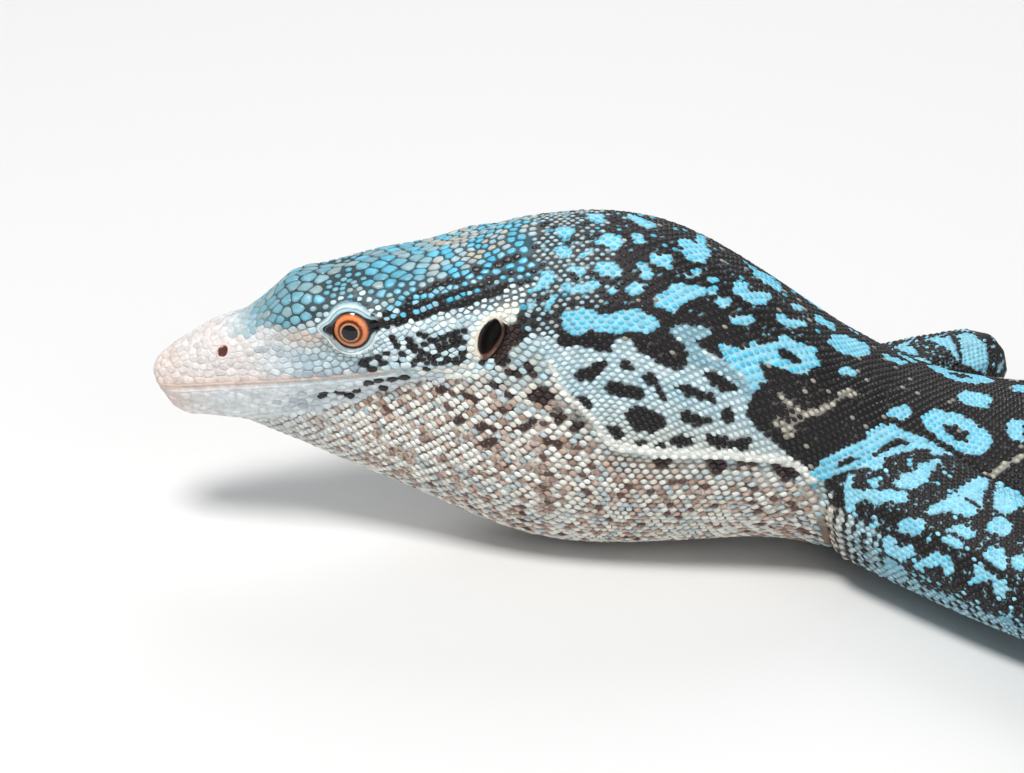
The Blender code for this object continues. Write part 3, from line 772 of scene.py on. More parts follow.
def scale_mesh(points, normals, lie, radius, height, profile, ground):
    """Points and triangles of many scales, each a rounded plate with its rim sunk in the skin.

    profile lists each ring's share of the outline and of the height. With a ground, the rings follow its
    curve. The result's rows belong to the scales in order, and its last number is how many each of them has.
    """
    sides = radius.shape[1]
    across = np.cross(normals, lie)
    turns = 2 * np.pi * np.arange(sides) / sides
    spokes = lie[:, None] * np.cos(turns)[None, :, None] + across[:, None] * np.sin(turns)[None, :, None]
    rings = []
    for share, lift in profile:
        ring = points[:, None] + spokes * (radius * share)[:, :, None]
        if ground is not None and share > 0.4:
            ring = ground.on_skin(ring.reshape(-1, 3)).reshape(ring.shape)
        up = height * lift if lift > 0 else np.full(len(points), -RIM_SINK)
        rings.append(ring + (normals * up[:, None])[:, None])
    top = points + normals * height[:, None]
    rows = np.concatenate([*rings, top[:, None]], axis=1)
    each = rows.shape[1]
    faces = []
    for ring in range(len(profile) - 1):
        for k in range(sides):
            n = (k + 1) % sides
            a, b = ring * sides + k, ring * sides + n
            faces += [(a, b, b + sides), (a, b + sides, a + sides)]
    last = (len(profile) - 1) * sides
    faces += [(last + k, last + (k + 1) % sides, each - 1) for k in range(sides)]
    faces = np.array(faces)[None] + (np.arange(len(points)) * each)[:, None, None]
    return rows.reshape(-1, 3), faces.reshape(-1, 3), each


def mesh_of(name, points, faces):
    """A mesh from rows of points and of triangles."""
    mesh = bpy.data.meshes.new(name)
    mesh.vertices.add(len(points))
    mesh.vertices.foreach_set("co", np.asarray(points, np.float32).ravel())
    mesh.loops.add(len(faces) * 3)
    mesh.polygons.add(len(faces))
    mesh.loops.foreach_set("vertex_index", np.asarray(faces, np.int32).ravel())
    mesh.polygons.foreach_set("loop_start", np.arange(0, len(faces) * 3, 3, dtype=np.int32))
    mesh.update(calc_edges=True)
    mesh.shade_smooth()
    return mesh


def paint(mesh, colours):
    """Stores a colour for each point, which the materials read as the markings."""
    layer = mesh.color_attributes.new("markings", "FLOAT_COLOR", "POINT")
    full = np.ones((len(colours), 4), np.float32)
    full[:, :3] = colours
    layer.data.foreach_set("color", full.ravel())


# The radius of a scale's patch on the bake map, and the height that parts the sole of a foot from its top.
PATCH = 0.0015
SOLE_HEIGHT = 0.0022


def unrolled(points, part):
    """Where each place lies on the unrolled skin: along and round it, and by top and sole on the feet."""
    along, off, height = to_trunk(points)
    flat = np.stack([along, np.arctan2(height, off)], axis=1)
    start = np.array((SNOUT.x, SNOUT.y, 0.0))
    for strip, (limb, (root, bend, wrist, heading)) in enumerate(LIMB_LINES.items()):
        toe = Vector(wrist) + Vector((*heading, 0)) * 0.05
        for row, (name, near, far) in enumerate(zip(LIMB_PARTS, (root, bend, wrist), (bend, wrist, toe))):
            mine = np.isin(part, part_numbers(f"{limb}_{name}"))
            axis = (Vector(far) - Vector(near)).normalized()
            across = axis.cross(Vector((0, 0, 1))).normalized()
            local = points[mine] - start - np.array(near)
            reach = local @ np.array(axis) / (Vector(far) - Vector(near)).length
            aside = local @ np.array(across)
            above = local @ np.array(across.cross(axis))
            around = np.arctan2(above, aside) / (2 * np.pi) + 0.5
            if name == "foot":
                around = 0.25 + aside / 0.18 + 0.5 * (points[mine, 2] < SOLE_HEIGHT)
            flat[mine] = np.stack([row + np.clip(reach, -0.2, 1.2) * 0.7, strip + around], axis=1)
    low, high = flat.min(0), flat.max(0)
    return 0.02 + 0.96 * (flat - low) / np.maximum(high - low, 1e-6)


def give_patches(mesh, points, part, each):
    """A bake map in which each scale is a small patch at its root's place on the unrolled skin."""
    turns = 2 * np.pi * np.arange(each) / each
    patch = PATCH * np.stack([np.cos(turns), np.sin(turns)], axis=1)
    rows = (unrolled(points, part)[:, None] + patch[None]).reshape(-1, 2)
    corners = values_of(mesh.loops, "vertex_index", 1, np.int32).ravel()
    layer = mesh.uv_layers.new(name="OFBake")
    layer.data.foreach_set("uv", rows[corners].astype(np.float32).ravel())


# The markings

# Outlines of the markings on neck and shoulders: millimetres behind the snout and degrees up from the side,
# in turn. Each side of the animal wears them.
BLUE_OUTLINES = (
    (84.4, 62, 86.2, 64, 86.9, 67, 92.8, 70, 93.1, 68, 88.2, 60, 87.8, 57, 84.5, 59),
    (94.6, 68, 96.9, 70, 97, 67, 95.9, 64, 94.9, 65),
    (96.8, 62, 100.5, 67, 101, 64, 99.5, 61, 97.2, 60),
    (97.6, 79, 99.7, 83, 100, 79, 103.8, 88, 103.3, 79, 100.5, 72, 97.4, 73),
    (88.4, 89, 90.2, 92, 91, 91, 91.8, 104, 93, 102, 92.5, 92, 93.5, 90, 93, 82, 90.7, 79, 89.4, 80, 88.5,
     85),
    (83.9, 78, 84.8, 77, 87.1, 79, 87.3, 76, 86.6, 74, 87.7, 73, 86.1, 72, 83.4, 74),
    (80.9, 72, 83.3, 73, 83.3, 71, 84, 69, 83.6, 67, 82, 67, 81.8, 70),
    (79.2, 63, 81, 66, 82.6, 65, 82.3, 63, 80.8, 61),
    (80.4, 84, 82.2, 85, 82.3, 82, 84.3, 82, 81, 80),
    (90.5, 75, 92.1, 77, 92.1, 74, 90.7, 72),
    (88.9, 73, 90.1, 73, 90.2, 72, 89.2, 71),
    (92.8, 74, 94.6, 76, 94.7, 74, 93.2, 73),
    (93.1, 70, 94.6, 72, 94.6, 69, 93.3, 68),
    (99.1, 102, 101.2, 102, 102.9, 108, 105.6, 101, 105.2, 94, 101.5, 92),
    (107.1, 90, 108.3, 96, 109.3, 96, 109.1, 91, 107.5, 87),
    (104.8, 74, 105.7, 78, 106.4, 77, 109.3, 83, 110, 82, 107.5, 73, 105, 71),
    (111, 95, 112.8, 102, 113.3, 100, 115, 102, 114.6, 95, 111.5, 91),
    (113.3, 79, 114.4, 91, 116.4, 99, 120.6, 106, 120.6, 93, 118.6, 82, 116, 78),
    (115.4, 65, 116.5, 70, 117.9, 70, 118.6, 66, 115.8, 62),
    (100.3, 54, 101.1, 56, 102.6, 56, 104.9, 61, 106, 66, 107, 67, 108.3, 66, 111.4, 70, 111.2, 64, 112.2,
     62, 110.4, 56, 110.2, 53, 107.6, 50, 101.7, 48, 100.4, 49),
    (95.1, 49, 96.3, 51, 97.5, 50, 100.3, 52, 103.4, 40, 101.9, 39, 101.9, 35, 100.7, 35, 99.7, 39, 98.3,
     40, 96.3, 44, 96, 47),
    (68.7, 53, 69.3, 56, 72.5, 57, 75.5, 54, 81.4, 57, 85.1, 53, 84.2, 49, 78.5, 48, 73.4, 49, 71.9, 47,
     69.6, 49),
    (63.4, 64, 64.6, 68, 66.6, 70, 68, 68, 67.2, 66, 64.9, 64, 63.7, 63),
    (67.5, 77, 69, 78, 70.7, 76, 70.5, 74, 68.7, 74),
    (71.3, 74, 74.3, 77, 74, 75, 72.2, 73),
    (62.6, 96, 64.6, 99, 64.9, 88, 63.7, 87, 62.8, 91),
    (67.8, 86, 70.5, 86, 70.9, 84, 69.6, 81, 68.1, 83),
    (58.7, 89, 61.1, 89, 61.1, 85, 59.3, 85),
    (60.8, 82, 62.6, 82, 62.6, 79, 61.1, 79),
    (73, 95, 75.5, 95, 76.2, 90, 74.9, 88, 73.5, 91),
    (79.5, 100, 84.7, 93, 83.5, 89, 81.4, 91, 79.7, 94),
    (69.6, 70, 70.4, 71, 72.8, 70, 72.8, 68, 71.9, 67),
    (74.4, 79, 76.1, 83, 78.7, 82, 79.2, 80, 77.8, 76),
    (74.6, 72, 77.2, 72, 79, 69, 78.4, 67, 75.4, 67, 74.7, 69),
    (68.7, 64, 69.9, 66, 70.4, 64, 74.6, 66, 75.3, 64, 72.8, 62, 70.4, 62),
    (76.5, 63, 77.5, 64, 78.1, 63, 77.2, 61),
    (63.4, 60, 64.6, 61, 64.3, 58, 63.4, 58),
    (65.8, 59, 67.2, 62, 68.4, 62, 66.4, 56),
    (129.5, 56, 131.9, 67, 136.3, 69, 140.9, 55, 141.3, 49, 139.8, 41, 137.2, 39, 131.9, 46, 130.2, 50),
    (123.6, 50, 124.4, 56, 126.3, 61, 127.8, 61, 127.2, 52, 126.3, 49),
    (135.6, 92, 137, 102, 141.1, 98, 141.4, 90, 140.2, 79, 137.2, 82, 135.7, 86),
    (143.5, 63, 144.7, 73, 146.7, 73, 146.6, 51, 144.6, 54),
    (111.2, 97, 113.3, 103, 115.2, 104, 114.1, 94, 111.8, 93),
    (122.5, 105, 124.8, 113, 127.1, 114, 126.3, 106, 123.6, 102),
    (111.4, 6, 113.3, 16, 117.4, 27, 120, 32, 120.7, 37, 123.3, 44, 125.2, 46, 126.3, 43, 129.3, 44, 131.6,
     42, 135.5, 34, 134.6, 34, 134.1, 31, 132.4, 28, 130.7, 30, 131.1, 34, 129.4, 34, 128.3, 31, 125.3, 27,
     123.5, 22, 123.2, 19, 121.7, 18, 120.1, 19, 117.5, 15, 113.8, 6, 112.8, -2, 111.5, -4),
)
BLACK_IN_BLUE = (
    (105, 58, 106.4, 60, 109.1, 58, 108.9, 56, 106.8, 54, 105.1, 54),
    (133.2, 55, 134.9, 58, 137.5, 53, 137, 47, 134.9, 47, 133.4, 51),
    (115.1, 14, 117.4, 21, 119.3, 22, 115.4, 13),
    (121.6, 26, 123.4, 34, 125.6, 39, 127.9, 38, 122, 24),
)
PALE_OUTLINES = (
    (86.6, 51, 87.5, 53, 93.1, 55, 93.7, 52, 90.9, 49, 94, 42, 96.6, 43, 99.7, 36, 101, 35, 100.3, 29, 97.7,
     36, 95.1, 39, 93.5, 39, 92.3, 37, 90.2, 40, 89.9, 44, 88.8, 48, 87, 49),
)
GREY_OUTLINES = (
    (104.9, 39, 109.7, 35, 111.9, 39, 117.1, 56, 119.1, 56, 118.7, 53, 116.4, 50, 112.4, 36, 109.7, 31,
     108.3, 26, 108, 19, 107.2, 18, 104.5, 23, 104.9, 26, 106.7, 29, 107.1, 32, 105.9, 34),
)
BLACK_OUTLINES = (
    (80.5, 47, 86.6, 50, 89.3, 47, 90.1, 40, 89.1, 36, 87, 36, 81.3, 41),
    (68, 48, 76.9, 49, 80.4, 48, 80.5, 47, 77.5, 46, 77.3, 41, 74.3, 41, 72.2, 43, 69.5, 42, 67.8, 44),
    (70.7, 31, 76, 38, 76.5, 35, 74.3, 27, 70.9, 28),
    (77.8, 39, 81.1, 35, 80.8, 33, 79.2, 33),
    (75.7, 24, 77, 28, 82.2, 25, 83.1, 23, 82.6, 20, 78.4, 19, 76.7, 21),
    (82, 31, 84.6, 33, 86.4, 22, 86.3, 20, 85, 22, 84.3, 27, 82.5, 28),
    (87.6, 28, 88.9, 30, 94.6, 28, 95, 26, 94.3, 23, 89.2, 25),
    (92.3, 37, 94.2, 39, 98.2, 35, 98.9, 32, 95.6, 30, 93.6, 33),
    (79.8, 12, 81.9, 16, 84.4, 15, 86.5, 12, 86.2, 6, 84.1, 1, 81.3, 2, 79.9, 5),
    (88.6, 13, 89.9, 17, 94.4, 16, 94.1, 13, 91.7, 10, 88.9, 11),
    (95.9, 21, 97.1, 24, 98.1, 22, 98, 18, 97, 15, 95.9, 16),
    (70.2, 21, 73, 19, 74.2, 16, 74, 11, 70.6, 17),
    (76.4, 3, 78.1, 4, 79.5, 0, 79.4, -5, 77.5, -4),
    (87.2, 0, 89, 4, 91.4, 3, 91.2, -1, 88.7, -4, 87.3, -3),
    (92.9, 5, 94.8, 8, 97.9, 7, 100.6, 11, 101.3, 8, 99.6, 3, 94.2, 0),
    (100.1, 28, 101.4, 33, 103.2, 31, 104.2, 28, 104.6, 21, 106.8, 16, 104.7, 14, 103, 17, 100.9, 18, 99.8,
     23),
    (62.7, 19, 64.2, 24, 66.5, 24, 68, 21, 67.9, 17, 65.5, 13, 63.5, 15),
    (62.4, 37, 63.4, 38, 64.5, 33, 64.4, 30, 63, 30),
    (60, 34, 61.9, 34, 62, 29, 60.5, 28),
    (56.8, 37, 58.3, 37, 58.5, 32, 57.3, 31),
    (67.4, 8, 68.9, 10, 69.6, 5, 68.2, 1),
    (70.3, 4, 72, 6, 73, 2, 72, -2, 70.6, -1),
    (83.8, -13, 87.8, -10, 87.3, -16, 85.6, -19, 84.2, -16),
    (93.2, -8, 95.2, -4, 97.2, -7, 96.7, -13, 95, -15),
    (104.8, 1, 106.9, 5, 109, 7, 109, -2, 107, -6, 105.2, -4),
    (98.3, -4, 103.1, 1, 102.8, -3, 100.1, -6),
    (81.7, -4, 83.8, -3, 82.7, -6, 80.6, -6),
    (84.3, -4, 86.2, -3, 86.2, -6, 84.8, -6),
    (65.6, -7, 69.6, -8, 68.9, -11, 66.2, -11),
    (55.4, -18, 57.5, -14, 59.5, -15, 57.5, -20, 55.4, -22),
    (47.7, 12, 49.5, 18, 50.5, 15, 49.5, 11, 48, 9),
    (52.6, 14, 53.9, 17, 55.9, 14, 55.1, 9, 53.3, 9),
    (55.9, 24, 57.9, 26, 59.5, 25, 58.4, 20),
    (59.7, 32, 61.2, 33, 61.7, 29, 60.7, 28, 60, 29),
    (50.9, -8, 52.3, -2, 53.3, -4, 52.3, -11, 51, -11),
    (54.8, -9, 56.4, -4, 58.2, -5, 57.1, -10, 55.6, -12),
    (59.5, -3, 62.5, 0, 64.5, 6, 65, 4, 63.2, -3, 61, -6),
    (56.1, 5, 57.4, 6, 57.9, 3, 56.6, 2),
    (59.7, 19, 61.2, 20, 61.5, 17, 60.2, 16),
    (58.4, 8, 61.5, 12, 61.5, 8, 59.5, 7),
)
# The same on the shoulder and the upper arm, in millimetres along its bone and degrees round it.
ARM_OUTLINES = (
    (9.4, 51, 9, 66, 10.8, 69, 9.8, 81, 10.7, 102, 11.3, 100, 13.4, 71, 12.7, 59),
    (4.8, 45, 5.7, 51, 6.8, 48, 6.6, 41),
    (1.5, 30, 1.4, 41, 2.1, 45, 2.8, 36, 3.7, 34, 11.9, 54, 12.7, 46, 8.8, 34, 4.9, 28, 4.9, 18, 3.3, 14),
    (7, 6, 7.7, 12, 10.9, 22, 9.2, 12, 9.1, 5, 10.5, 3, 10.2, -5),
    (13.4, 24, 13.5, 31, 15.1, 36, 17.5, 41, 18.5, 36, 17.5, 30, 18.5, 27, 14, 20),
    (16.4, 47, 18.6, 74, 23.7, 76, 24.1, 71, 23, 62, 20.3, 60, 17.4, 46),
    (18.4, 76, 17.7, 133, 21.8, 94, 24.2, 77, 22, 83, 20.3, 76),
    (18.9, 134, 20.7, 148, 22.5, 152, 24, 165, 26.9, 131, 27.6, 87, 25, 85),
    (21.6, 48, 24.1, 56, 26.4, 55, 25.8, 47, 24.6, 44, 22.5, 44),
    (21.6, 31, 22.4, 40, 24.9, 41, 26.2, 34),
    (26.9, 65, 27, 81, 28.2, 84, 30.8, 76, 30.8, 68, 28.5, 62),
    (29.2, 40, 29.4, 49, 31.4, 56, 34.1, 44, 33.4, 36),
    (11.5, 5, 12.1, 13, 13.7, 16, 14, 7, 17, 16, 17.7, 9, 16.1, -2, 14.3, -4, 12.5, -2),
    (18.4, -2, 21.5, 23, 25.1, 21, 26.1, 10, 24.3, 6, 22.8, 12, 19, -4),
    (12.3, -11, 13.7, -5, 15.5, -15, 14.7, -23, 12.9, -25),
    (28.6, 25, 30, 33, 31.5, 28, 33.3, 30, 33.5, 25, 28.6, 7, 29.4, 18),
    (-3.1, 31, 0.8, 68, 0.5, 74, 1.1, 87, 2, 94, 11.7, 122, 11.1, 119, 11.3, 116, 10.6, 107, 8.9, 101, 8.6,
     105, 7.3, 99, 4.8, 66, 5.4, 59, 4.2, 54, 2.6, 54, 1, 46, -1.2, 31, -1.8, 21, -2.8, 20),
)
BLACK_IN_ARM = (
    (-0.8, 42, 0.4, 52, 1.7, 56, 0.9, 47),
    (2.9, 65, 2.9, 78, 3.6, 90, 5.5, 96, 4.2, 82, 4, 72, 3.3, 64),
)
SHOULDER_OUTLINES = (
    (125.5, 15, 127, 20, 128.7, 20, 131.8, 26, 132.1, 24, 130.8, 19),
    (121.1, 13, 122.6, 16, 123.1, 14, 122.1, 11, 121.4, 11),
    (116.7, 5, 117.7, 12, 118.8, 14, 118.5, 8, 127.7, 16, 127.6, 13, 119.2, 5, 118.6, 0, 117.1, -3),
    (119.7, -6, 120.6, -2, 123.7, 4, 121.8, -1, 121.4, -4, 122.4, -5, 122, -8, 120.7, -8),
    (125.9, 5, 126.6, 8, 130.9, 11, 131.1, 9, 129.7, 8, 130.2, 7, 126.2, 4),
    (123.4, -3, 125.7, 2, 125.6, -2, 128.4, 2, 128.7, 0, 125.4, -6, 123.9, -6),
    (128.8, -4, 132.4, 6, 135.2, 5, 135.5, 2, 133.9, 1, 132.9, 2),
    (124, -10, 124.9, -7, 126.7, -9, 126.3, -12, 124.9, -14),
)
# Where the pale side of the neck begins, from behind the ear round to the shoulder and under the throat.
PALE_AREA = (
    (5, -100, 5, 60, 61.9, 44, 63.8, 50, 66.5, 50, 68, 49, 67.9, 44, 69.5, 42, 72.2, 43, 74.3, 41, 77.3, 41,
     77.5, 45, 80.6, 46, 81.3, 41, 87, 36, 89.4, 36, 90.1, 40, 86.9, 46, 86.6, 50, 93, 54, 93.4, 52, 91, 49,
     92.8, 46, 96.2, 44, 101.7, 36, 100.1, 28, 99.8, 23, 101.2, 18, 109.5, 6, 112, 0, 113.5, -10, 114.5,
     -30, 116, -100),
)
FOLD_LINE = (
    (66.8, 36.6), (67.9, 28.3), (69.6, 20.7), (72.3, 11.9), (74.4, 4.9), (75.7, -3.4), (78.5, -9.2),
    (82.7, -9.2), (88, -8.1), (93.2, -4.8), (100, -0.6), (103.4, 2.7), (107.5, 6.1), (109.8, 4.9),
    (111.3, 1.5),
)
SHOULDER_SEAM = ((112.7, -1.4), (113.9, -13), (114.8, -29.8), (116, -50))
CREAM_LINE = ((135, 34), (138, 29.5), (141, 28.5), (143.5, 36), (146.5, 42))
# Half the girth of the neck over pi, in millimetres: turns degrees round it into a length.
GIRTH = 19.5
# The same on the head, in millimetres behind the snout and up from the line of the mouth.
BROW = ((29.5, 9.2), (32, 11.4), (35, 13.4), (38, 14), (41.5, 12.9), (44.5, 11.4))
JAW_LINES = (((46.5, 0.1), (50.2, 0.2), (53.8, 0.5), (56, 1.3)), ((50.7, -1.6), (53.3, -1.3), (57.9, -0.6)))
CROWN_EDGE = (
    (13, 12), (17, 10.6), (22, 9.9), (27, 9.6), (33, 12.2), (40, 12.2), (46, 11.6), (58, 12.6), (66, 13),
)
EYE_STREAK = ((41, 9.2), (44.8, 9.9), (50.1, 10.7), (57, 12), (63, 12.8))
EAR_CREAM = (
    (55.6, 1.5, 54.6, 3.5, 55.5, 6, 58, 8.6, 61.2, 10.6, 62.5, 11, 64.1, 10.4, 65.2, 8.7, 63.6, 7.5, 62,
     7.3, 60, 7, 57, 3.6, 56.6, 1.4),
)
EAR_BROWN = (
    (61, 7.5, 65.4, 7.4, 65.8, 5.2, 63, 2.6, 59, 0.9, 58.6, 2, 61, 4.5),
)
CHEEK_DOTS = (
    (40.4, 2.4), (43, 2.5), (45.3, 2), (42.7, 6.9), (43.4, 5.7), (44.2, 3.9), (45.6, 6.5), (45.9, 5.1),
    (41.1, 4.3), (39.5, 3.5), (37.6, 3.2), (38.1, 1.9), (47.1, 0.9), (46.7, 2.9), (47.5, 4.4), (48.9, 3.6),
    (49.5, 6.2), (51.4, 6.6), (50.5, 4.8), (51, 2.3), (53.3, 6.9), (53.4, 5.2), (54.1, 3.6), (48.2, 7.3),
    (31.4, -3.7), (32.9, -4.7), (34.9, -3.3), (36.7, -1.9), (38.9, -1), (39, -3.1), (40.8, -1.5),
    (42.9, -1), (29.1, -4.1), (52.6, 1.5),
)
GREY_DOTS = (
    (20.7, 2), (23.1, 1.8), (25.6, 2.3), (28, 2), (30.3, 1.8), (32.8, 1.6), (35.7, 1.4), (23.3, -4.8),
    (25.1, -5.9), (25.6, -3), (21.2, -4.5), (27.5, -4.2), (27, 4.2), (29.5, 4.4), (20.5, 6.1), (23.3, 5.6),
)


def nearest_dot(along, up, dots, half_long, half_high):
    """How far out each place lies in the nearest of some dots of one size, over 1 when outside all."""
    least = np.full(len(along), 9.0)
    for at, height in dots:
        least = np.minimum(least, np.hypot((along - at) / half_long, (up - height) / half_high))
    return least


def path_gap(u, v, path):
    """Distance from each place to a bent line, both in the same flat units."""
    least = np.full(len(u), 99.0)
    for (x0, y0), (x1, y1) in zip(path, path[1:]):
        dx, dy = x1 - x0, y1 - y0
        t = np.clip(((u - x0) * dx + (v - y0) * dy) / (dx * dx + dy * dy), 0, 1)
        least = np.minimum(least, np.hypot(u - x0 - t * dx, v - y0 - t * dy))
    return least


def on_neck(path):
    """A line given in degrees up from the side, unrolled to millimetres."""
    return [(at, math.radians(angle) * GIRTH) for at, angle in path]


def inside(u, v, outlines):
    """Which places lie within any of some outlines."""
    found = np.zeros(len(u), bool)
    for outline in outlines:
        corners = np.reshape(outline, (-1, 2)).astype(float)
        low, high = corners.min(0), corners.max(0)
        near = np.flatnonzero((u > low[0]) & (u < high[0]) & (v > low[1]) & (v < high[1]))
        x, y = u[near], v[near]
        crossed = np.zeros(len(near), bool)
        for (x0, y0), (x1, y1) in zip(corners, np.roll(corners, -1, axis=0)):
            if y0 != y1:
                crossed ^= ((y0 > y) != (y1 > y)) & (x < (x1 - x0) * (y - y0) / (y1 - y0) + x0)
        found[near] |= crossed
    return found


def toward(colours, colour, share):
    """Mixes a colour in, by a share for each row."""
    return colours + (colour - colours) * np.clip(np.asarray(share, float), 0, 1)[..., None]


def picked_places(ground, allowed, apart, chance):
    """Places of the skin picked at random, none closer than a distance to another, in a tree."""
    picked = []
    for i in chance.permutation(np.flatnonzero(allowed)):
        p = ground.points[i]
        if all(np.abs(p - q).max() > apart or np.linalg.norm(p - q) > apart for q in picked):
            picked.append(p)
        if len(picked) > MOST_SPOTS:
            break
    return tree_of(np.array(picked))


def gap_to(tree, points):
    """Millimetres from each point to the nearest place of a tree."""
    return 1000 * np.array([tree.find(p)[2] for p in points.tolist()])


# How far apart the middles of rings and spots stand, and how many of a kind there may be.
RINGS_APART, SPOTS_APART, LIMB_SPOTS_APART, TAIL_SPOTS_APART = 0.0125, 0.0068, 0.0043, 0.0060
MOST_SPOTS = 420
# In millimetres from its middle: where a ring begins and ends, the dot in it, and the edges of spots.
RING_FROM, RING_TO, RING_DOT = 2.7, 4.5, 0.7
SPOT, TAIL_SPOT, LIMB_SPOT = 1.0, 0.9, 1.35


class Pattern:
    """Where the rings and spots lie that no list gives: on torso, tail and limbs."""

    def __init__(self, ground, chance):
        along, off, height = to_trunk(ground.points)
        turn = degrees_up(off, height)
        torso = np.isin(ground.part, part_numbers("torso", "tail_root"))
        limb = ground.part >= LIMB_FROM
        tail = (ground.part > TORSO) & ~limb
        self.rings = picked_places(ground, torso & (along > 0.159) & (turn > -25), RINGS_APART, chance)
        self.spots = picked_places(ground, torso & (along > 0.145) & (turn > -35), SPOTS_APART, chance)
        self.limb_spots = picked_places(ground, limb, LIMB_SPOTS_APART, chance)
        self.tail_spots = picked_places(ground, tail, TAIL_SPOTS_APART, chance)


def wobble(points, size):
    """A smooth wander between -1 and 1 over the body, that long from crest to crest."""
    x, y, z = (points * (2 * math.pi / size)).T
    total = np.sin(x + 1.7 * np.sin(y * 0.7))
    total += np.sin(y * 1.1 + 1.3 * np.sin(z * 0.9))
    total += np.sin(z * 1.2 + x * 0.6)
    return total / 3


def trunk_markings(points, part, pattern, chance):
    """The neck's own markings, black with rings and spots on the torso, a pale belly and a banded tail."""
    _, turquoise, pale_blue, _ = tones()
    along, off, height = to_trunk(points)
    mm, turn = along * 1000, degrees_up(off, height)
    single = chance.uniform(0, 1, len(points))
    ragged = 0.4 * (single - 0.5)
    blue = toward(turquoise, pale_blue, 0.14 + 0.22 * wobble(points, 0.009))
    colours = neck_markings(points, blue, single, chance)

    around = gap_to(pattern.rings, points) + 0.55 * wobble(points, 0.006) + ragged
    spot = gap_to(pattern.spots, points) + ragged
    ring = (around > RING_FROM) & (around < RING_TO) | (around < RING_DOT) | (spot < SPOT) & (around > 5.0)
    mark = np.isin(part, part_numbers("torso", "tail_root")) & (mm > 150) & ring
    colours[mark] = blue[mark]
    belly = fall(turn, -32, 14) * rise(mm, 118, 10) * (mm < 330)
    under = np.where((wobble(points, 0.007) + ragged > 0.22)[:, None], 0.35 * pale_blue, 0.8 * pale_blue)
    colours = toward(colours, under, belly)

    tail = (part > TORSO) & (part < LIMB_FROM) & (mm > 322)
    band = np.sin(2 * math.pi * (mm + 2.0 * wobble(points, 0.02)) / np.interp(mm, (320, 950), (27, 17)))
    spot = gap_to(pattern.tail_spots, points) + ragged
    share = np.clip(band * 2.0 + 0.25, 0.05, 0.95)
    mark = tail & ((chance.uniform(0, 1, len(points)) < share * 0.9) & (band > 0.12) | (spot < TAIL_SPOT))
    colours[mark] = blue[mark]
    return colours


def neck_markings(points, blue, single, chance):
    """Black with turquoise patches, a pale side with dark blotches, a bright fold line and a cream throat."""
    black, turquoise, pale_blue, cream = tones()
    along, off, height = to_trunk(points)
    mm, turn = along * 1000, degrees_up(off, height)
    left, right = np.degrees(np.arctan2(height, -off)), np.degrees(np.arctan2(height, off))
    arc = np.radians(turn) * GIRTH
    shifted = mm + 1.5 * np.sin(turn / 14)

    def marked(outlines):
        return inside(mm, left, outlines) | inside(shifted, right, outlines) & (right < 66)

    colours = np.tile(black, (len(points), 1))
    fold = np.interp(mm, *zip(*((62, 50), *FOLD_LINE)))
    behind = np.clip((turn - fold) / 3 + 0.5, 0, 1)
    side = marked(PALE_AREA)
    grey = toward(0.85 * cream, 0.90 * pale_blue, 0.5 + 0.5 * wobble(points, 0.005))
    whitish = toward(pale_blue, WHITE, 0.30 + 0.25 * wobble(points, 0.006))
    whitish = toward(whitish, 0.95 * cream, fall(turn, 22, 24) * 0.6)
    colours[side] = toward(grey, whitish, behind)[side]
    colours = throat_beads(points, mm, turn, fold, side, colours, chance)

    blotched = marked(BLACK_OUTLINES) & side
    colours[blotched] = toward(0.45 * BROWN, black, 0.55 + 0.45 * behind)[blotched]
    colours[marked(PALE_OUTLINES)] = toward(0.80 * pale_blue, turquoise, 0.12)
    patch = marked(BLUE_OUTLINES) & ~marked(BLACK_IN_BLUE) | marked(SHOULDER_OUTLINES)
    colours[patch] = blue[patch]
    greyish = marked(GREY_OUTLINES) & (single < 0.8)
    colours[greyish] = 0.62 * cream

    back = ~side & ~patch & ~greyish & (turn > 0) & (mm > 56)
    colours[back & (single < 0.035)] = 0.40 * cream
    colours[back & (mm < 112) & (turn > 58) & (single > 0.95)] = 0.8 * turquoise
    nape = back & (turn > 50) & (single < 0.78 * fall(mm, 80, 8))
    granule = toward(0.75 * pale_blue, 0.65 * cream, 1.4 * (chance.uniform(0, 1, len(points)) - 0.4))
    colours[nape] = granule[nape]
    bright = path_gap(mm, arc, on_neck(FOLD_LINE)) < np.interp(mm, (66, 74, 78, 112), (0.4, 0.6, 1.0, 0.9))
    colours[bright] = WHITE * (0.98, 0.95, 0.90)
    colours[path_gap(mm, arc, on_neck(CREAM_LINE)) < 0.55] = 0.65 * cream
    wrinkled = (mm > 112.5) & (mm < 124) & (turn < 3 - 1.6 * (mm - 113)) & (turn > -60)
    wrinkled &= wrinkle_wave(mm, arc) + 0.8 * (single - 0.5) > -0.6
    colours[wrinkled] = toward(0.85 * cream, 0.85 * pale_blue, single)[wrinkled]
    return colours


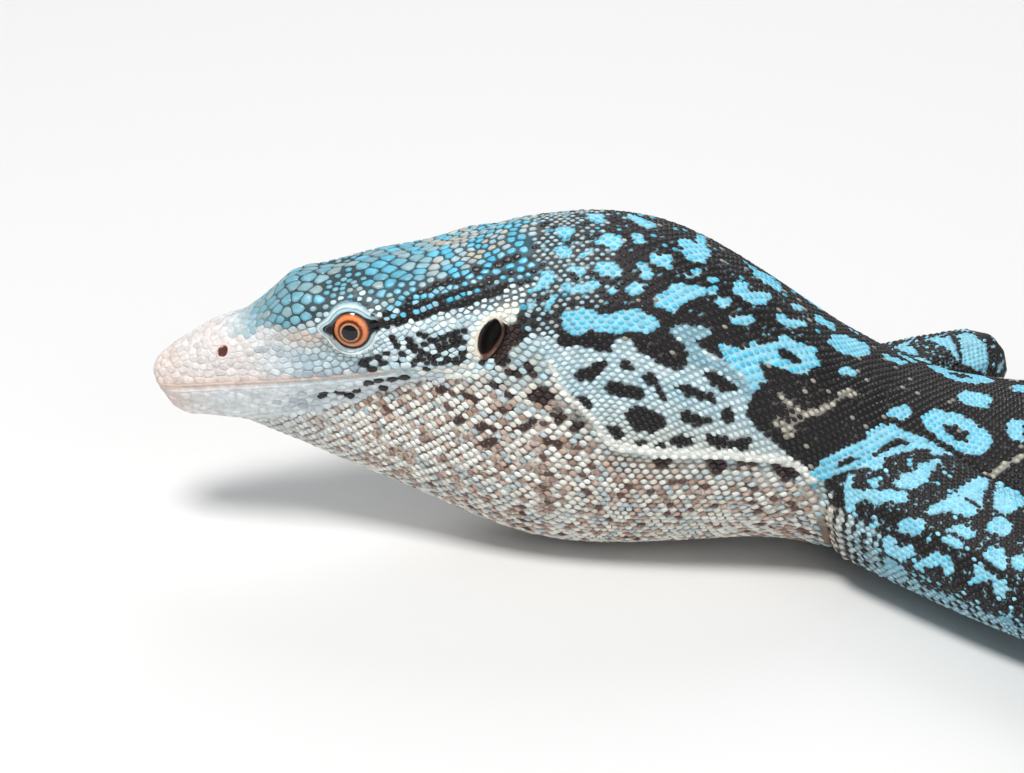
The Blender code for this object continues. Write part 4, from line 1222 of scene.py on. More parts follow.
def throat_beads(points, mm, turn, fold, side, colours, chance):
    """Cream beads under the fold line, with reddish, grey and dark ones between, mottled towards the fold."""
    *_, cream = tones()
    pick, shade = chance.uniform(0, 1, (2, len(points)))
    depth = np.clip((fold - turn) / 34, 0, 1)
    ahead = fall(mm, 64, 20)
    mottled = wobble(points * (1.0, 1.0, 2.2), 0.0075) + 0.6 * wobble(points, 0.0032)
    dark = np.clip(0.12 + 0.50 * mottled - 0.26 * depth, 0.01, 0.75) * (1 - 0.75 * ahead)
    bead = toward(cream, WHITE, 0.2 + 0.6 * shade)
    bead = toward(bead, 0.55 * cream, 0.6 * (1 - depth) * shade * (1 - ahead))
    bead[pick > 0.86] = linear(0.74, 0.80, 0.81)
    bead[pick < dark + 0.26] = linear(0.80, 0.70, 0.63)
    bead[pick < dark + 0.10] = linear(0.66, 0.54, 0.47)
    bead[pick < dark] = 0.75 * BROWN
    bead = toward(bead, linear(0.86, 0.88, 0.87), fall(mm, 36, 14) * 0.8)
    low = side & (turn < fold - 2) & (mm < 114)
    below_jaw = np.clip((fold - 2 - turn) / 22, 0, 1) * (1 - 0.35 * ahead)
    share = np.where(mm < 66, fall(turn, 32, 16), below_jaw + 0.35) * low
    return toward(colours, bead, share)


def around_bone(points, limb, near, far):
    """Millimetres along a bone of a limb and degrees round it, from its front edge up over it."""
    axis = (Vector(far) - Vector(near)).normalized()
    level = axis.cross(Vector((0, 0, 1))).normalized()
    above = np.array(level.cross(axis))
    if limb.endswith("right"):
        level = -level
    local = points - np.array((SNOUT.x, SNOUT.y, 0.0)) - np.array(near)
    return 1000 * (local @ np.array(axis)), np.degrees(np.arctan2(local @ above, local @ np.array(level)))


def limb_markings(points, part, pattern, chance):
    """Black limbs with clusters of turquoise scales and single ones between, and pale undersides."""
    black, turquoise, pale_blue, cream = tones()
    single = chance.uniform(0, 1, len(points))
    colours = np.tile(black, (len(points), 1))
    blue = toward(turquoise, pale_blue, 0.35 + 0.3 * wobble(points, 0.008))
    spot = gap_to(pattern.limb_spots, points) + 0.4 * (single - 0.5)
    mark = (spot < LIMB_SPOT + 0.35 * wobble(points, 0.011)) | (single < 0.10)
    for limb, (root, bend, wrist, _) in LIMB_LINES.items():
        for name, near, far in (("upper", root, bend), ("lower", bend, wrist)):
            mine = np.flatnonzero(np.isin(part, part_numbers(f"{limb}_{name}")))
            reach, turn = around_bone(points[mine], limb, near, far)
            if name == "upper":
                drawn = (reach < 33) & (turn > -22) & (turn < 160)
                mark[mine[drawn]] = single[mine[drawn]] < 0.06
                outlined = inside(reach, turn, ARM_OUTLINES) & ~inside(reach, turn, BLACK_IN_ARM)
                mark[mine[outlined]] = True
            low = np.minimum(turn, 180 - turn)
            low = np.where(turn < -90, -180 - turn, low)
            share = np.clip((-low - 2) / 24, 0, 1)
            rings = np.sin(2 * math.pi * (reach + 0.03 * turn) / 1.9)
            mark[mine] |= (single[mine] < 0.95 * share) & (rings > -0.75 + 0.5 * (1 - share))
            blue[mine] = toward(blue[mine], 0.9 * pale_blue, 0.75 * share)
            chest = (name == "upper") & (reach < 11) & (turn < 13) & (turn > -60)
            blue[mine[chest]] = toward(0.85 * pale_blue, 0.90 * cream, (7 - reach[chest]) / 7)
            waves = np.sin(2 * math.pi * reach[chest] / 2.1)
            mark[mine[chest]] = waves + 1.2 * (single[mine[chest]] - 0.5) > -0.5
    colours[mark] = blue[mark]
    return colours


def head_markings(points, chance):
    """White snout, blue-grey crown, black streak behind the eye, and dotted cheeks and lips."""
    black, turquoise, pale_blue, cream = tones()
    along, side, up = (values * 1000 for values in to_head(points))
    across = np.abs(side)
    ragged = chance.uniform(-1, 1, len(points))
    colours = toward(SNOUT_WHITE, LIP, 0.40 * fall(along, 9, 9) + 0.15 * wobble(points, 0.009))
    colours = toward(colours, 0.92 * pale_blue, rise(along, 17, 10) * 0.70)
    lower = np.clip(-2 * up, 0, 1) * rise(along, 4, 8)
    colours = toward(colours, linear(0.87, 0.90, 0.91), 0.85 * lower * fall(along, 62, 12))
    lip = fall(up, 1.8, 1.2) * (up > 0) * fall(along, 44, 10)
    colours = toward(colours, LIP, 0.8 * lip)
    loreal = np.exp(-(((along - 28.5) / 5) ** 2) - ((up - 8.2) / 2.2) ** 2)
    colours = toward(colours, linear(0.80, 0.70, 0.62), 0.75 * loreal)
    dotted = nearest_dot(along, up, GREY_DOTS, 1.0, 0.8)
    colours = toward(colours, GREY_BLUE, 0.45 * (dotted < 1))

    edge = np.interp(along, *zip(*CROWN_EDGE))
    crown = np.clip((up - edge) / 0.9 + 0.5 + 0.2 * ragged, 0, 1) * np.clip((along - 11 + ragged) / 9, 0, 1)
    crown = np.where(across < 5, np.maximum(crown, rise(along, 13, 9) * (up > 8)), crown)
    plate = toward(CROWN, turquoise, rise(along, 24, 34) * 0.50 + 0.25 * ragged)
    plate = toward(plate, linear(0.60, 0.68, 0.68), 1.2 * chance.uniform(-1, 1, len(points)) - 0.1)
    granule = toward(0.80 * pale_blue, 0.70 * cream, 0.4 + 0.8 * ragged)
    granule = toward(granule, turquoise, 0.8 * (wobble(points, 0.006) > 0.15))
    plate = toward(plate, granule, (along - 48) / 4)
    colours = toward(colours, plate, crown)

    temple = rise(along, 38.5, 3) * (up < edge + 0.5) * (up > -9)
    white = toward(WHITE, pale_blue, 0.5 + 0.3 * ragged)
    colours = toward(colours, white, temple * np.clip((up + 1.5) / 1.5, 0, 1))
    dark_cheek = (along > 47.5) & (up > 1.0) & (up < 8.0 - 0.12 * (along - 50))
    colours[dark_cheek & (ragged < np.interp(along, (47, 51, 56), (-0.6, 0.0, 0.35)))] = black
    streak = path_gap(along, up, EYE_STREAK)
    above = up - np.interp(along, *zip(*EYE_STREAK))
    width = np.interp(along, (38, 42, 50, 64), (0.5, 0.65, 0.6, 0.7))
    beads = (above > 0) & (above < np.interp(along, (40, 46, 58, 64), (1.2, 3.0, 3.6, 4.0))) & (along > 40)
    black_bead = ragged + 1.2 * np.cos(2 * math.pi * above / 1.5) > np.interp(above, (0, 4), (-0.3, 0.5))
    colours[beads & black_bead] = black
    pale_bead = toward(0.85 * pale_blue, turquoise, 0.5 + 0.5 * chance.uniform(-1, 1, len(points)))
    colours[beads & ~black_bead] = pale_bead[beads & ~black_bead]
    colours[(streak < width + 0.25 * ragged)] = black
    colours[nearest_dot(along, up, CHEEK_DOTS, 0.76, 0.68) < 1] = 0.55 * black

    brow = (path_gap(along, up, BROW) < 0.5) & (ragged < 0.6)
    colours[brow] = toward(pale_blue, WHITE, 0.4 + 0.4 * ragged)[brow]
    for line in JAW_LINES:
        colours[path_gap(along, up, line) < 0.5] = WHITE * (0.95, 0.92, 0.86)
    patch = inside(along, up, EAR_CREAM)
    colours[patch] = WHITE * (0.97, 0.94, 0.86)
    colours[inside(along, up, EAR_BROWN)] = linear(0.22, 0.15, 0.13)
    return colours


def markings(points, part, pattern, chance):
    """The colour of each place on the body."""
    colours = trunk_markings(points, part, pattern, chance)
    limb = part >= LIMB_FROM
    colours[limb] = limb_markings(points[limb], part[limb], pattern, chance)
    head = (part <= NECK) & (above_rows(points) > 0)
    colours[head] = head_markings(points[head], chance)
    return colours


def between(points, part, colours):
    """The colour of the bare skin round each scale: dark, but pale in the blue patches and on the snout."""
    along, _, up = to_head(points)
    head = (part <= NECK) & (above_rows(points) > 0)
    depth = (colours[:, 2] - colours[:, 0]) / np.maximum(colours[:, 2], 1e-6)
    pale = np.clip((colours[:, 1] - 0.25) / 0.25, 0, 1)
    skin = toward(0.28 * colours, 0.58 * colours, pale)
    skin = toward(skin, linear(0.58, 0.80, 0.86), rise(depth, 0.50, 0.15) * pale * ~head)
    trunk = to_trunk(points)
    mm, turn = trunk[0] * 1000, degrees_up(*trunk[1:])
    brown = np.clip((60 - mm) / 25, 0.75, 1)[:, None] * BROWN
    skin = toward(skin, brown, 0.75 * throat_share(*trunk) * ~head)
    skin = toward(skin, 0.85 * colours, np.clip((colours.min(1) - 0.62) / 0.08, 0, 1))
    nape = ~head & (part <= NECK) & (mm < 86) & (turn > 47) & (depth < 0.5)
    black, *_ = tones()
    skin = toward(skin, black, 0.9 * nape)
    crown = head * rise(up, 0.0092, 0.001) * rise(along, 0.020, 0.008)
    skin = toward(skin, 0.5 * black, 0.75 * crown)
    smooth = head * fall(along, 0.034, 0.012)
    jaw = fall(up, 0.0010, 0.001) * fall(along, 0.050, 0.016)
    smooth = np.maximum(smooth, head * jaw * 0.9)
    smooth = smooth * np.where(up > 0.0095, fall(along, 0.024, 0.006), 1.0)
    return toward(skin, colours * (0.97, 0.95, 0.94), smooth)


def new_material(name):
    """A new material, with its nodes and its shader."""
    made = bpy.data.materials.new(name)
    made.use_nodes = True
    nodes = made.node_tree.nodes
    return made, nodes, nodes["Principled BSDF"]


def with_values(node, values):
    """Sets numbers on the sockets of a node, and hands it back."""
    for socket, value in values.items():
        node.inputs[socket].default_value = value
    return node


def wired(material, *wires):
    """Links the nodes of a material, each wire from a node's output to another's input."""
    for source, output, target, socket in wires:
        material.node_tree.links.new(source.outputs[output], target.inputs[socket])


def scaly_material(name, roughness, cells, depth):
    """Scaly skin: the markings, with a fine grain in its colour, its sheen and its relief."""
    made, nodes, shader = new_material(name)
    with_values(shader, {"Specular IOR Level": 0.45})
    place = nodes.new("ShaderNodeTexCoord")
    layer = nodes.new("ShaderNodeVertexColor")
    layer.layer_name = "markings"
    blotch = with_values(nodes.new("ShaderNodeTexNoise"), {"Scale": 900, "Detail": 3})
    blotches = {"From Min": 0.3, "From Max": 0.7}
    shade = with_values(nodes.new("ShaderNodeMapRange"), {**blotches, "To Min": 0.82, "To Max": 1.12})
    tint = nodes.new("ShaderNodeVectorMath")
    tint.operation = "SCALE"
    roughnesses = {"To Min": roughness - 0.07, "To Max": roughness + 0.10}
    sheen = with_values(nodes.new("ShaderNodeMapRange"), {**blotches, **roughnesses})
    pits = with_values(nodes.new("ShaderNodeTexVoronoi"), {"Scale": cells})
    bump = with_values(nodes.new("ShaderNodeBump"), {"Distance": depth, "Strength": 0.7})
    wired(
        made,
        (place, "Object", blotch, "Vector"),
        (blotch, "Fac", shade, "Value"),
        (layer, "Color", tint, 0),
        (shade, "Result", tint, "Scale"),
        (tint, "Vector", shader, "Base Color"),
        (blotch, "Fac", sheen, "Value"),
        (sheen, "Result", shader, "Roughness"),
        (place, "Object", pits, "Vector"),
        (pits, "Distance", bump, "Height"),
        (bump, "Normal", shader, "Normal"),
    )
    return made


@functools.cache
def read_skin():
    """The finished skin as ground, with the places on it where no rows run marked as open."""
    ground = Ground(bpy.data.objects["skin"])
    ground.open = np.isin(ground.part, part_numbers("head", "neck", *(f"{limb}_foot" for limb in LIMBS)))
    ground.open &= (ground.part > NECK) | (above_rows(ground.points) > 0)
    ground.open &= ~bare_places(ground, ground.points)
    return ground


def bare_places(ground, points):
    """Where no scale stands: under lids, lips, rims and claws, and in the openings."""
    bare = np.zeros(len(points), bool)
    head = np.flatnonzero(points[:, 0] < SNOUT.x + HEAD_REACH)
    some = points[head]
    bare[head] = inside_lids(some) | inside_openings(ground, some, 0.7) | on_lips(some)
    return bare | on_claws(points)


# Rings of a scale, as shares of its outline and height: flat plates for the head, round tops elsewhere.
PLATE = ((1.0, 0.0), (0.90, 0.78), (0.55, 0.97))
BEAD = ((1.0, 0.0), (0.86, 0.52), (0.52, 0.88))
GRAIN = ((1.0, 0.0), (0.72, 0.72))

# Half the length and width of a scale, as shares of the distances in its rows or of its free spacing.
ROW_SHARES, FREE_SHARES = (0.52, 0.53), (0.80, 0.62)
# Gaps between the head's plates, how much less on the snout and more behind the crown, and between others.
PLATE_GAP, SNOUT_GAP_LESS, NAPE_GAP_MORE, SCALE_GAP = 0.00010, 0.00008, 0.00022, 0.00009
# The height of plates, how much less it is on the snout, and that of others: a share of their size, and more.
PLATE_HEIGHT, SNOUT_HEIGHT_LESS = 0.00020, 0.00015
SCALE_HEIGHT_SHARE, SCALE_HEIGHT_MORE = 0.34, 0.00008


def laid_out(ground, chance):
    """Place, part, normal, lie, half length, half width and spacing of each scale. In rows, spacing is 0."""
    rows = np.vstack([trunk_rows(ground), limb_rows(ground)])
    ways, sizes = row_ways(rows), rows[:, 4:]
    rows = rows[:, :3]
    kept = drop_crowded(rows, LEAST_APART) & ~bare_places(ground, rows)
    kept &= (above_rows(rows) < 0) | (rows[:, 0] > SNOUT.x + 0.08)
    rows, ways, sizes = rows[kept], ways[kept], sizes[kept]
    loose = scattered(ground, rows, chance)
    points = np.vstack([rows, settled(ground, loose[:, :3].copy(), rows)])
    index = ground.nearest(points)
    part, normals = ground.part[index], ground.normals[index]
    lie = lie_of(points, normals, part)
    ways -= normals[: len(rows)] * (ways * normals[: len(rows)]).sum(1, keepdims=True)
    found = np.flatnonzero(np.linalg.norm(ways, axis=1) > 0.0003)
    lie[found] = unit(ways[found])
    long = np.concatenate([ROW_SHARES[0] * sizes[:, 0], FREE_SHARES[0] * loose[:, 3]])
    wide = np.concatenate([ROW_SHARES[1] * sizes[:, 1], FREE_SHARES[1] * loose[:, 3]])
    spacing = np.concatenate([np.zeros(len(rows)), loose[:, 3]])
    return points, part, normals, lie, long, wide, spacing


def scale_forms(along, up, head, spacing, long, wide):
    """For each scale, the stretch of its outline, the gap round it and its height."""
    stretch = np.where(head, PLATE_STRETCH, 1.0)
    snout = head * fall(along, 0.034, 0.012)
    behind = head * rise(along, 0.049, 0.006) * (up > 0.0105)
    gap = np.where(head, PLATE_GAP - SNOUT_GAP_LESS * snout + NAPE_GAP_MORE * behind, SCALE_GAP)
    tall = SCALE_HEIGHT_SHARE * np.minimum(long, wide) + SCALE_HEIGHT_MORE
    tall = np.where(head, PLATE_HEIGHT - SNOUT_HEIGHT_LESS * snout, tall)
    return stretch, gap, np.where(head & (spacing < 0.00100), PLATE_HEIGHT, tall)


def coat_pieces(part, along, off):
    """The pieces of the coat: name, which scales are in it, how many sides they have, and their rings."""
    neck, torso, tail = part == NECK, part == TORSO, (part > TORSO) & (part < LIMB_FROM)
    return (
        ("scales_head", part == HEAD, 12, PLATE),
        ("scales_neck_left", neck & (off <= 0), 8, BEAD),
        ("scales_neck_right", neck & (off > 0), 8, BEAD),
        ("scales_torso_left", torso & (off <= 0), 8, GRAIN),
        ("scales_torso_right", torso & (off > 0), 6, GRAIN),
        ("scales_tail_front", tail & (along < 0.50), 6, GRAIN),
        ("scales_tail_rear", tail & (along >= 0.50), 6, GRAIN),
        ("scales_fore_left_limb", on_limbs(part, "fore_left"), 8, BEAD),
        ("scales_fore_right_limb", on_limbs(part, "fore_right"), 6, GRAIN),
        ("scales_hind_limbs", on_limbs(part, "hind_left", "hind_right"), 6, GRAIN),
    )


def paint_skin(ground, pattern, chance):
    """The markings on the bare skin, with painted shade between the lids and deep in the openings."""
    skin = bpy.data.objects["skin"]
    colours = between(ground.points, ground.part, markings(ground.points, ground.part, pattern, chance))
    for kind, plan in OPENINGS.items():
        # Painted shade: the skin deep in each nostril and ear takes the dark colour of its depth.
        colours[inside_openings(ground, ground.points, 0.3, kind)] = plan["deep"]
    # Painted shade: the skin between the lids, seen in the corners of the eye opening, is painted near black.
    # At the rear corner it meets the black streak.
    colours[inside_lids(ground.points, -0.0002)] = 0.5 * BLACK
    paint(skin.data, colours)
    skin.data.materials.append(scaly_material("skin_between_scales", 0.62, 1700, 0.00006))


def make_coat():
    """All the scales: rows of them on trunk and limbs, and plates and granules set freely elsewhere."""
    made = settings()
    chance = np.random.default_rng(made.seed)
    ground = read_skin()
    points, part, normals, lie, long, wide, spacing = laid_out(ground, chance)
    in_row = spacing == 0
    along, off, _ = to_trunk(points)
    _, _, up = to_head(points)
    nape = in_row & (part <= NECK) & (along < 0.082) & (up > 0.006)
    long, wide = np.where(nape, 0.82 * long, long), np.where(nape, 0.92 * wide, wide)
    astray = chance.normal(0, made.unevenness, (2, len(points), 1))
    across = np.cross(normals, lie)
    points = points + (astray[0] * lie + astray[1] * across) * in_row[:, None]
    lie = unit(lie + across * chance.normal(0, 0.06, (len(points), 1)))
    size = chance.uniform(0.93, 1.05, len(points))
    long, wide = long * size, wide * size
    stretch, gap, tall = scale_forms(along, up, (part <= NECK) & ~in_row, spacing, long, wide)
    tall = tall * made.relief * chance.uniform(0.88, 1.12, len(points))

    pattern = Pattern(ground, chance)
    colours = markings(points, part, pattern, chance)
    bare = between(points, part, colours)
    colours *= chance.uniform(0.86, 1.12, (len(points), 1))
    finish = scaly_material("scales", 0.34, 2600, 0.00003)
    shape = points, normals, lie, long, wide, stretch
    reach = {sides: scale_outlines(*shape, sides, gap) for sides in (6, 8, 12)}
    for name, mine, sides, profile in coat_pieces(part, along, off):
        follow = ground if name == "scales_head" else None
        grid, faces, each = scale_mesh(
            points[mine], normals[mine], lie[mine], reach[sides][mine], tall[mine], profile, follow
        )
        mesh = mesh_of(name, grid, faces)
        shade = np.repeat(colours[mine][:, None], each, axis=1)
        shade[:, :sides] = bare[mine][:, None]
        shade[:, sides : 2 * sides] = (0.7 * colours[mine] + 0.3 * bare[mine])[:, None]
        paint(mesh, shade.reshape(-1, 3))
        give_patches(mesh, points[mine], part[mine], each)
        mesh.materials.append(finish)
        obj = linked(name, mesh)
        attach(obj, "root")
    paint_skin(ground, pattern, chance)


# Eyes and lids

# The way that the left eye looks, the round front of the iris that shows, and the opening of the lids: half
# its height, and at each corner the direction in degrees from the back, how far past the round it goes, and
# over how wide an angle.
GAZE = Vector((-0.19, -0.976, 0.08)).normalized()
ROUND_OPENING = 0.0032
LID_OPENING = 0.00315
REAR_CORNER = 17
CORNERS = ((184, 0.0015, 15), (REAR_CORNER, 0.0017, 16))

# Rings of the iris from the pupil out: share of EYE_RADIUS, and colour.
IRIS = (
    (0.000, (0.004, 0.004, 0.006)),
    (0.300, (0.004, 0.004, 0.006)),
    (0.325, (0.62, 0.30, 0.13)),
    (0.362, (0.50, 0.18, 0.06)),
    (0.390, (0.09, 0.018, 0.010)),
    (0.455, (0.12, 0.020, 0.010)),
    (0.490, (0.66, 0.19, 0.050)),
    (0.575, (0.80, 0.27, 0.090)),
    (0.640, (0.42, 0.11, 0.045)),
    (0.675, (0.05, 0.025, 0.022)),
    (0.720, (0.006, 0.005, 0.006)),
)

# Folds of the lids from the eyeball out: distance past the opening, share of the way from ball to skin,
# lift, and colours above and below the eye. The first two follow the iris, the others the opening.
LID_FOLDS = (
    (-0.00035, 0.00, -0.00025, 0.4 * BLACK, 0.4 * BLACK),
    (0.00000, 0.00, 0.00006, 0.5 * BLACK, 0.5 * BLACK),
    (0.00006, 0.20, 0.00016, 0.6 * BLACK, 0.6 * BLACK),
    (0.00016, 0.30, 0.00030, 0.35 * GREY_BLUE, 0.35 * GREY_BLUE),
    (0.00030, 0.45, 0.00034, 0.80 * PALE_BLUE, 0.70 * PALE_BLUE),
    (0.00056, 0.62, 0.00032, 0.95 * PALE_BLUE, 0.90 * WHITE),
    (0.00072, 0.74, 0.00014, 0.45 * PALE_BLUE, 0.55 * PALE_BLUE),
    (0.00090, 0.86, 0.00022, 0.90 * WHITE, 0.90 * WHITE),
    (0.00120, 0.96, 0.00016, 0.85 * PALE_BLUE, 0.85 * WHITE),
    (0.00145, 1.00, 0.00000, 0.45 * PALE_BLUE, 0.50 * PALE_BLUE),
    (0.00165, 1.00, -0.00030, 0.45 * PALE_BLUE, 0.50 * PALE_BLUE),
)
LIDS_REACH = 0.00125


def eye_axes(side):
    """The eye's middle, and the ways back along its lids, up and out of them. side is -1 for the left."""
    out = Vector((GAZE.x, -side * GAZE.y, GAZE.z))
    back = Vector((1, 0, 0))
    back = (back - out * back.dot(out)).normalized()
    upright = out.cross(back)
    if upright.z < 0:
        upright = -upright
    return from_head(EYE_PLACE[0], side * EYE_PLACE[1], EYE_PLACE[2]), back, upright, out


def lid_reach(degrees):
    """How far the edge of the lids is from the middle of the iris, by direction from the back."""
    reach = LID_OPENING
    for middle, extra, spread in CORNERS:
        turn = (degrees - middle + 180) % 360 - 180
        reach = reach + extra * np.exp(-((turn / spread) ** 2))
    return reach


def inside_lids(points, past=LIDS_REACH):
    """Which points lie between the lids of either eye, or so far past their edge."""
    found = np.zeros(len(points), bool)
    for side in (-1, 1):
        middle, *axes = eye_axes(side)
        u, v, w = ((points - np.array(middle)) @ np.array(axis) for axis in axes)
        reach = lid_reach(np.degrees(np.arctan2(v, u)))
        found |= (np.hypot(u, v) < reach + past) & (w > -0.001)
    return found


def eye_material():
    """Black pupil, a thin bright ring, a dark red-brown one and a broad orange one, wet all over."""
    made, nodes, shader = new_material("eye")
    wet = {"Roughness": 0.12, "Specular IOR Level": 0.1, "Coat Weight": 0.7, "Coat Roughness": 0.015}
    with_values(shader, wet)
    place = nodes.new("ShaderNodeTexCoord")
    flat = with_values(nodes.new("ShaderNodeVectorMath"), {1: (1 / EYE_RADIUS, 1 / EYE_RADIUS, 0)})
    flat.operation = "MULTIPLY"
    outward = nodes.new("ShaderNodeVectorMath")
    outward.operation = "LENGTH"
    fibres = with_values(nodes.new("ShaderNodeTexNoise"), {"Scale": 16, "Detail": 5})
    stir = with_values(nodes.new("ShaderNodeMapRange"), {"To Min": -0.035, "To Max": 0.035})
    share = nodes.new("ShaderNodeMath")
    share.operation = "ADD"
    ramp = nodes.new("ShaderNodeValToRGB")
    stops = ramp.color_ramp.elements
    stops[0].position, stops[0].color = IRIS[0][0], (*IRIS[0][1], 1)
    stops[1].position, stops[1].color = IRIS[-1][0], (*IRIS[-1][1], 1)
    for at, colour in IRIS[1:-1]:
        stops.new(at).color = (*colour, 1)
    bump = with_values(nodes.new("ShaderNodeBump"), {"Distance": 0.00003, "Strength": 0.5})
    wired(
        made,
        (place, "Object", flat, 0),
        (flat, "Vector", outward, 0),
        (flat, "Vector", fibres, "Vector"),
        (fibres, "Fac", stir, "Value"),
        (outward, "Value", share, 0),
        (stir, "Result", share, 1),
        (share, "Value", ramp, "Fac"),
        (ramp, "Color", shader, "Base Color"),
        (fibres, "Fac", bump, "Height"),
        (bump, "Normal", shader, "Normal"),
    )
    return made


def make_eyes():
    """Two eyeballs, each turned along its gaze, with a slightly raised clear front."""
    finish = eye_material()
    for side, label in SIDES:
        middle, back, _, out = eye_axes(side)
        bm = bmesh.new()
        bmesh.ops.create_uvsphere(bm, u_segments=64, v_segments=40, radius=EYE_RADIUS)
        for v in bm.verts:
            if v.co.z > 0:
                v.co.z += 0.00018 * math.exp(-((math.hypot(v.co.x, v.co.y) / 0.0019) ** 2))
        mesh = bpy.data.meshes.new(f"eyeball_{label}")
        bm.to_mesh(mesh)
        bm.free()
        mesh.shade_smooth()
        mesh.materials.append(finish)
        ball = linked(f"eyeball_{label}", mesh)
        turn = Matrix((back, out.cross(back), out)).transposed().to_4x4()
        ball.matrix_world = Matrix.Translation(middle) @ turn
        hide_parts(f"eye_{label}")
        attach(ball, "root")


def swept(name, rings, colours, material, ends=True):
    """A piece over rings of points, painted ring by ring, its ends closed if asked."""
    each = len(rings[0])
    faces = []
    for i in range(len(rings) - 1):
        for k in range(each):
            a, b = i * each + k, i * each + (k + 1) % each
            faces += [(a, b, b + each), (a, b + each, a + each)]
    if ends:
        last = (len(rings) - 1) * each
        faces += [(0, k + 1, k) for k in range(1, each - 1)]
        faces += [(last, last + k, last + k + 1) for k in range(1, each - 1)]
    mesh = mesh_of(name, np.vstack(rings), faces)
    paint(mesh, np.vstack([np.broadcast_to(shade, (each, 3)) for shade in colours]))
    bm = bmesh.new()
    bm.from_mesh(mesh)
    bmesh.ops.recalc_face_normals(bm, faces=bm.faces)
    bm.to_mesh(mesh)
    bm.free()
    mesh.shade_smooth()
    mesh.materials.append(material)
    obj = linked(name, mesh)
    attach(obj, "root")


def make_lids():
    """Upper and lower lid in one ring of folds round each eye, black at the edge and white beyond."""
    tree = read_skin().tree
    finish = scaly_material("lids", 0.42, 3200, 0.00004)
    degrees = np.arange(0, 360, 3.0)
    c, s = np.cos(np.radians(degrees)), np.sin(np.radians(degrees))
    top = (0.5 + 0.5 * np.tanh(3 * s))[:, None]
    rear = np.exp(-((((degrees - REAR_CORNER + 180) % 360 - 180) / 14) ** 2))
    opening = lid_reach(degrees)
    for side, label in SIDES:
        middle, back, upright, out = eye_axes(side)
        rings, colours = [], []
        for number, (past, share, lift, above, below) in enumerate(LID_FOLDS):
            reach = (np.minimum(opening, ROUND_OPENING) if number < 2 else opening) + past
            ring = []
            for r, x, y in zip(reach, c, s):
                flat = middle + back * (r * x) + upright * (r * y)
                hit = tree.ray_cast(flat + out * 0.009, -out, 0.012)[0]
                on_ball = math.sqrt(EYE_RADIUS**2 - min(r, 0.0034) ** 2)
                on_skin = (hit - middle).dot(out) if hit else on_ball
                ring.append(tuple(flat + out * (on_ball + (on_skin - on_ball) * share + lift)))
            rings.append(ring)
            colours.append(toward(below + (above - below) * top, 0.6 * BLACK, 1.3 * rear))
        swept(f"lids_{label}", rings, colours, finish, ends=False)


# Nostrils, ears and lips

# Points round the edge of an opening.
EDGE_POINTS = 48
# Openings of the head: place along and up, tilt, lean in degrees, half sizes, how far the top narrows,
# width and height of the rim, and colours of the rim, of its rear, of its inside and of the depth. The inside
# and the depth are darker as painted shade down in the hole, over the reddish-brown flesh of the nostril.
OPENINGS = {
    "nostril": {
        "place": (0.0139, 0.0039),
        "tilt": 0.45,
        "lean": 38,
        "half": (0.00080, 0.00105),
        "narrowing": 0.0,
        "rim": (0.00050, 0.00016),
        "outer": linear(0.88, 0.80, 0.76),
        "rear": linear(0.88, 0.82, 0.80),
        "inner": linear(0.62, 0.42, 0.36),
        "deep": linear(0.34, 0.16, 0.13),
    },
    "ear": {
        "place": (0.0590, 0.0050),
        "tilt": 0.05,
        "lean": 27,
        "half": (0.00180, 0.00360),
        "narrowing": 0.45,
        "rim": (0.00075, 0.00040),
        "outer": linear(0.92, 0.87, 0.79),
        "rear": linear(0.30, 0.23, 0.20),
        "inner": linear(0.45, 0.27, 0.21),
        "deep": linear(0.10, 0.07, 0.06),
    },
}


def opening_frame(ground, kind, side):
    """The middle of an opening, level with the skin round it, and directions along, up and out of it."""
    plan = OPENINGS[kind]
    turn = math.radians(plan["lean"])
    origin = from_head(0, 0, 0)
    back, up = from_head(1, 0, 0) - origin, from_head(0, 0, 1) - origin
    out = (Vector((0, side, 0)) + up * plan["tilt"]).normalized()
    up = (up - out * up.dot(out)).normalized()
    back = (back - out * back.dot(out)).normalized()
    along, upright = back * math.cos(turn) - up * math.sin(turn), up * math.cos(turn) + back * math.sin(turn)
    start = from_head(plan["place"][0], 0, plan["place"][1]) + out * 0.03
    levels = []
    for k in range(12):
        angle = 2 * math.pi * k / 12
        wide, high = (half + 0.0011 for half in plan["half"])
        spot = along * (wide * math.cos(angle)) + upright * (high * math.sin(angle))
        levels.append((ground.tree.ray_cast(start + spot, -out)[0] - start).dot(out))
    return start + out * (sum(levels) / 12), along, upright, out


def opening_edge(plan, past, k):
    """Along and up from the middle of an opening to one of the points round it, so far past its edge."""
    c, s = math.cos(2 * math.pi * k / EDGE_POINTS), math.sin(2 * math.pi * k / EDGE_POINTS)
    wide = 1 - plan["narrowing"] * max(0.0, s) ** 2
    return (plan["half"][0] * wide + past) * c, (plan["half"][1] + past) * s


def inside_openings(ground, points, share, only=None):
    """Which points lie within an opening and this share of its rim."""
    found = np.zeros(len(points), bool)
    near = np.flatnonzero(points[:, 0] < SNOUT.x + HEAD_REACH)
    for kind, plan in OPENINGS.items():
        if only in (None, kind):
            grow = share * plan["rim"][0]
            for side in (-1, 1):
                middle, *axes = opening_frame(ground, kind, side)
                u, v, w = ((points[near] - np.array(middle)) @ np.array(axis) for axis in axes)
                high = v / (plan["half"][1] + grow)
                wide = plan["half"][0] * (1 - plan["narrowing"] * np.clip(high, 0, 1) ** 2) + grow
                found[near] |= (np.hypot(u / wide, high) < 1) & (np.abs(w) < 0.007)
    return found


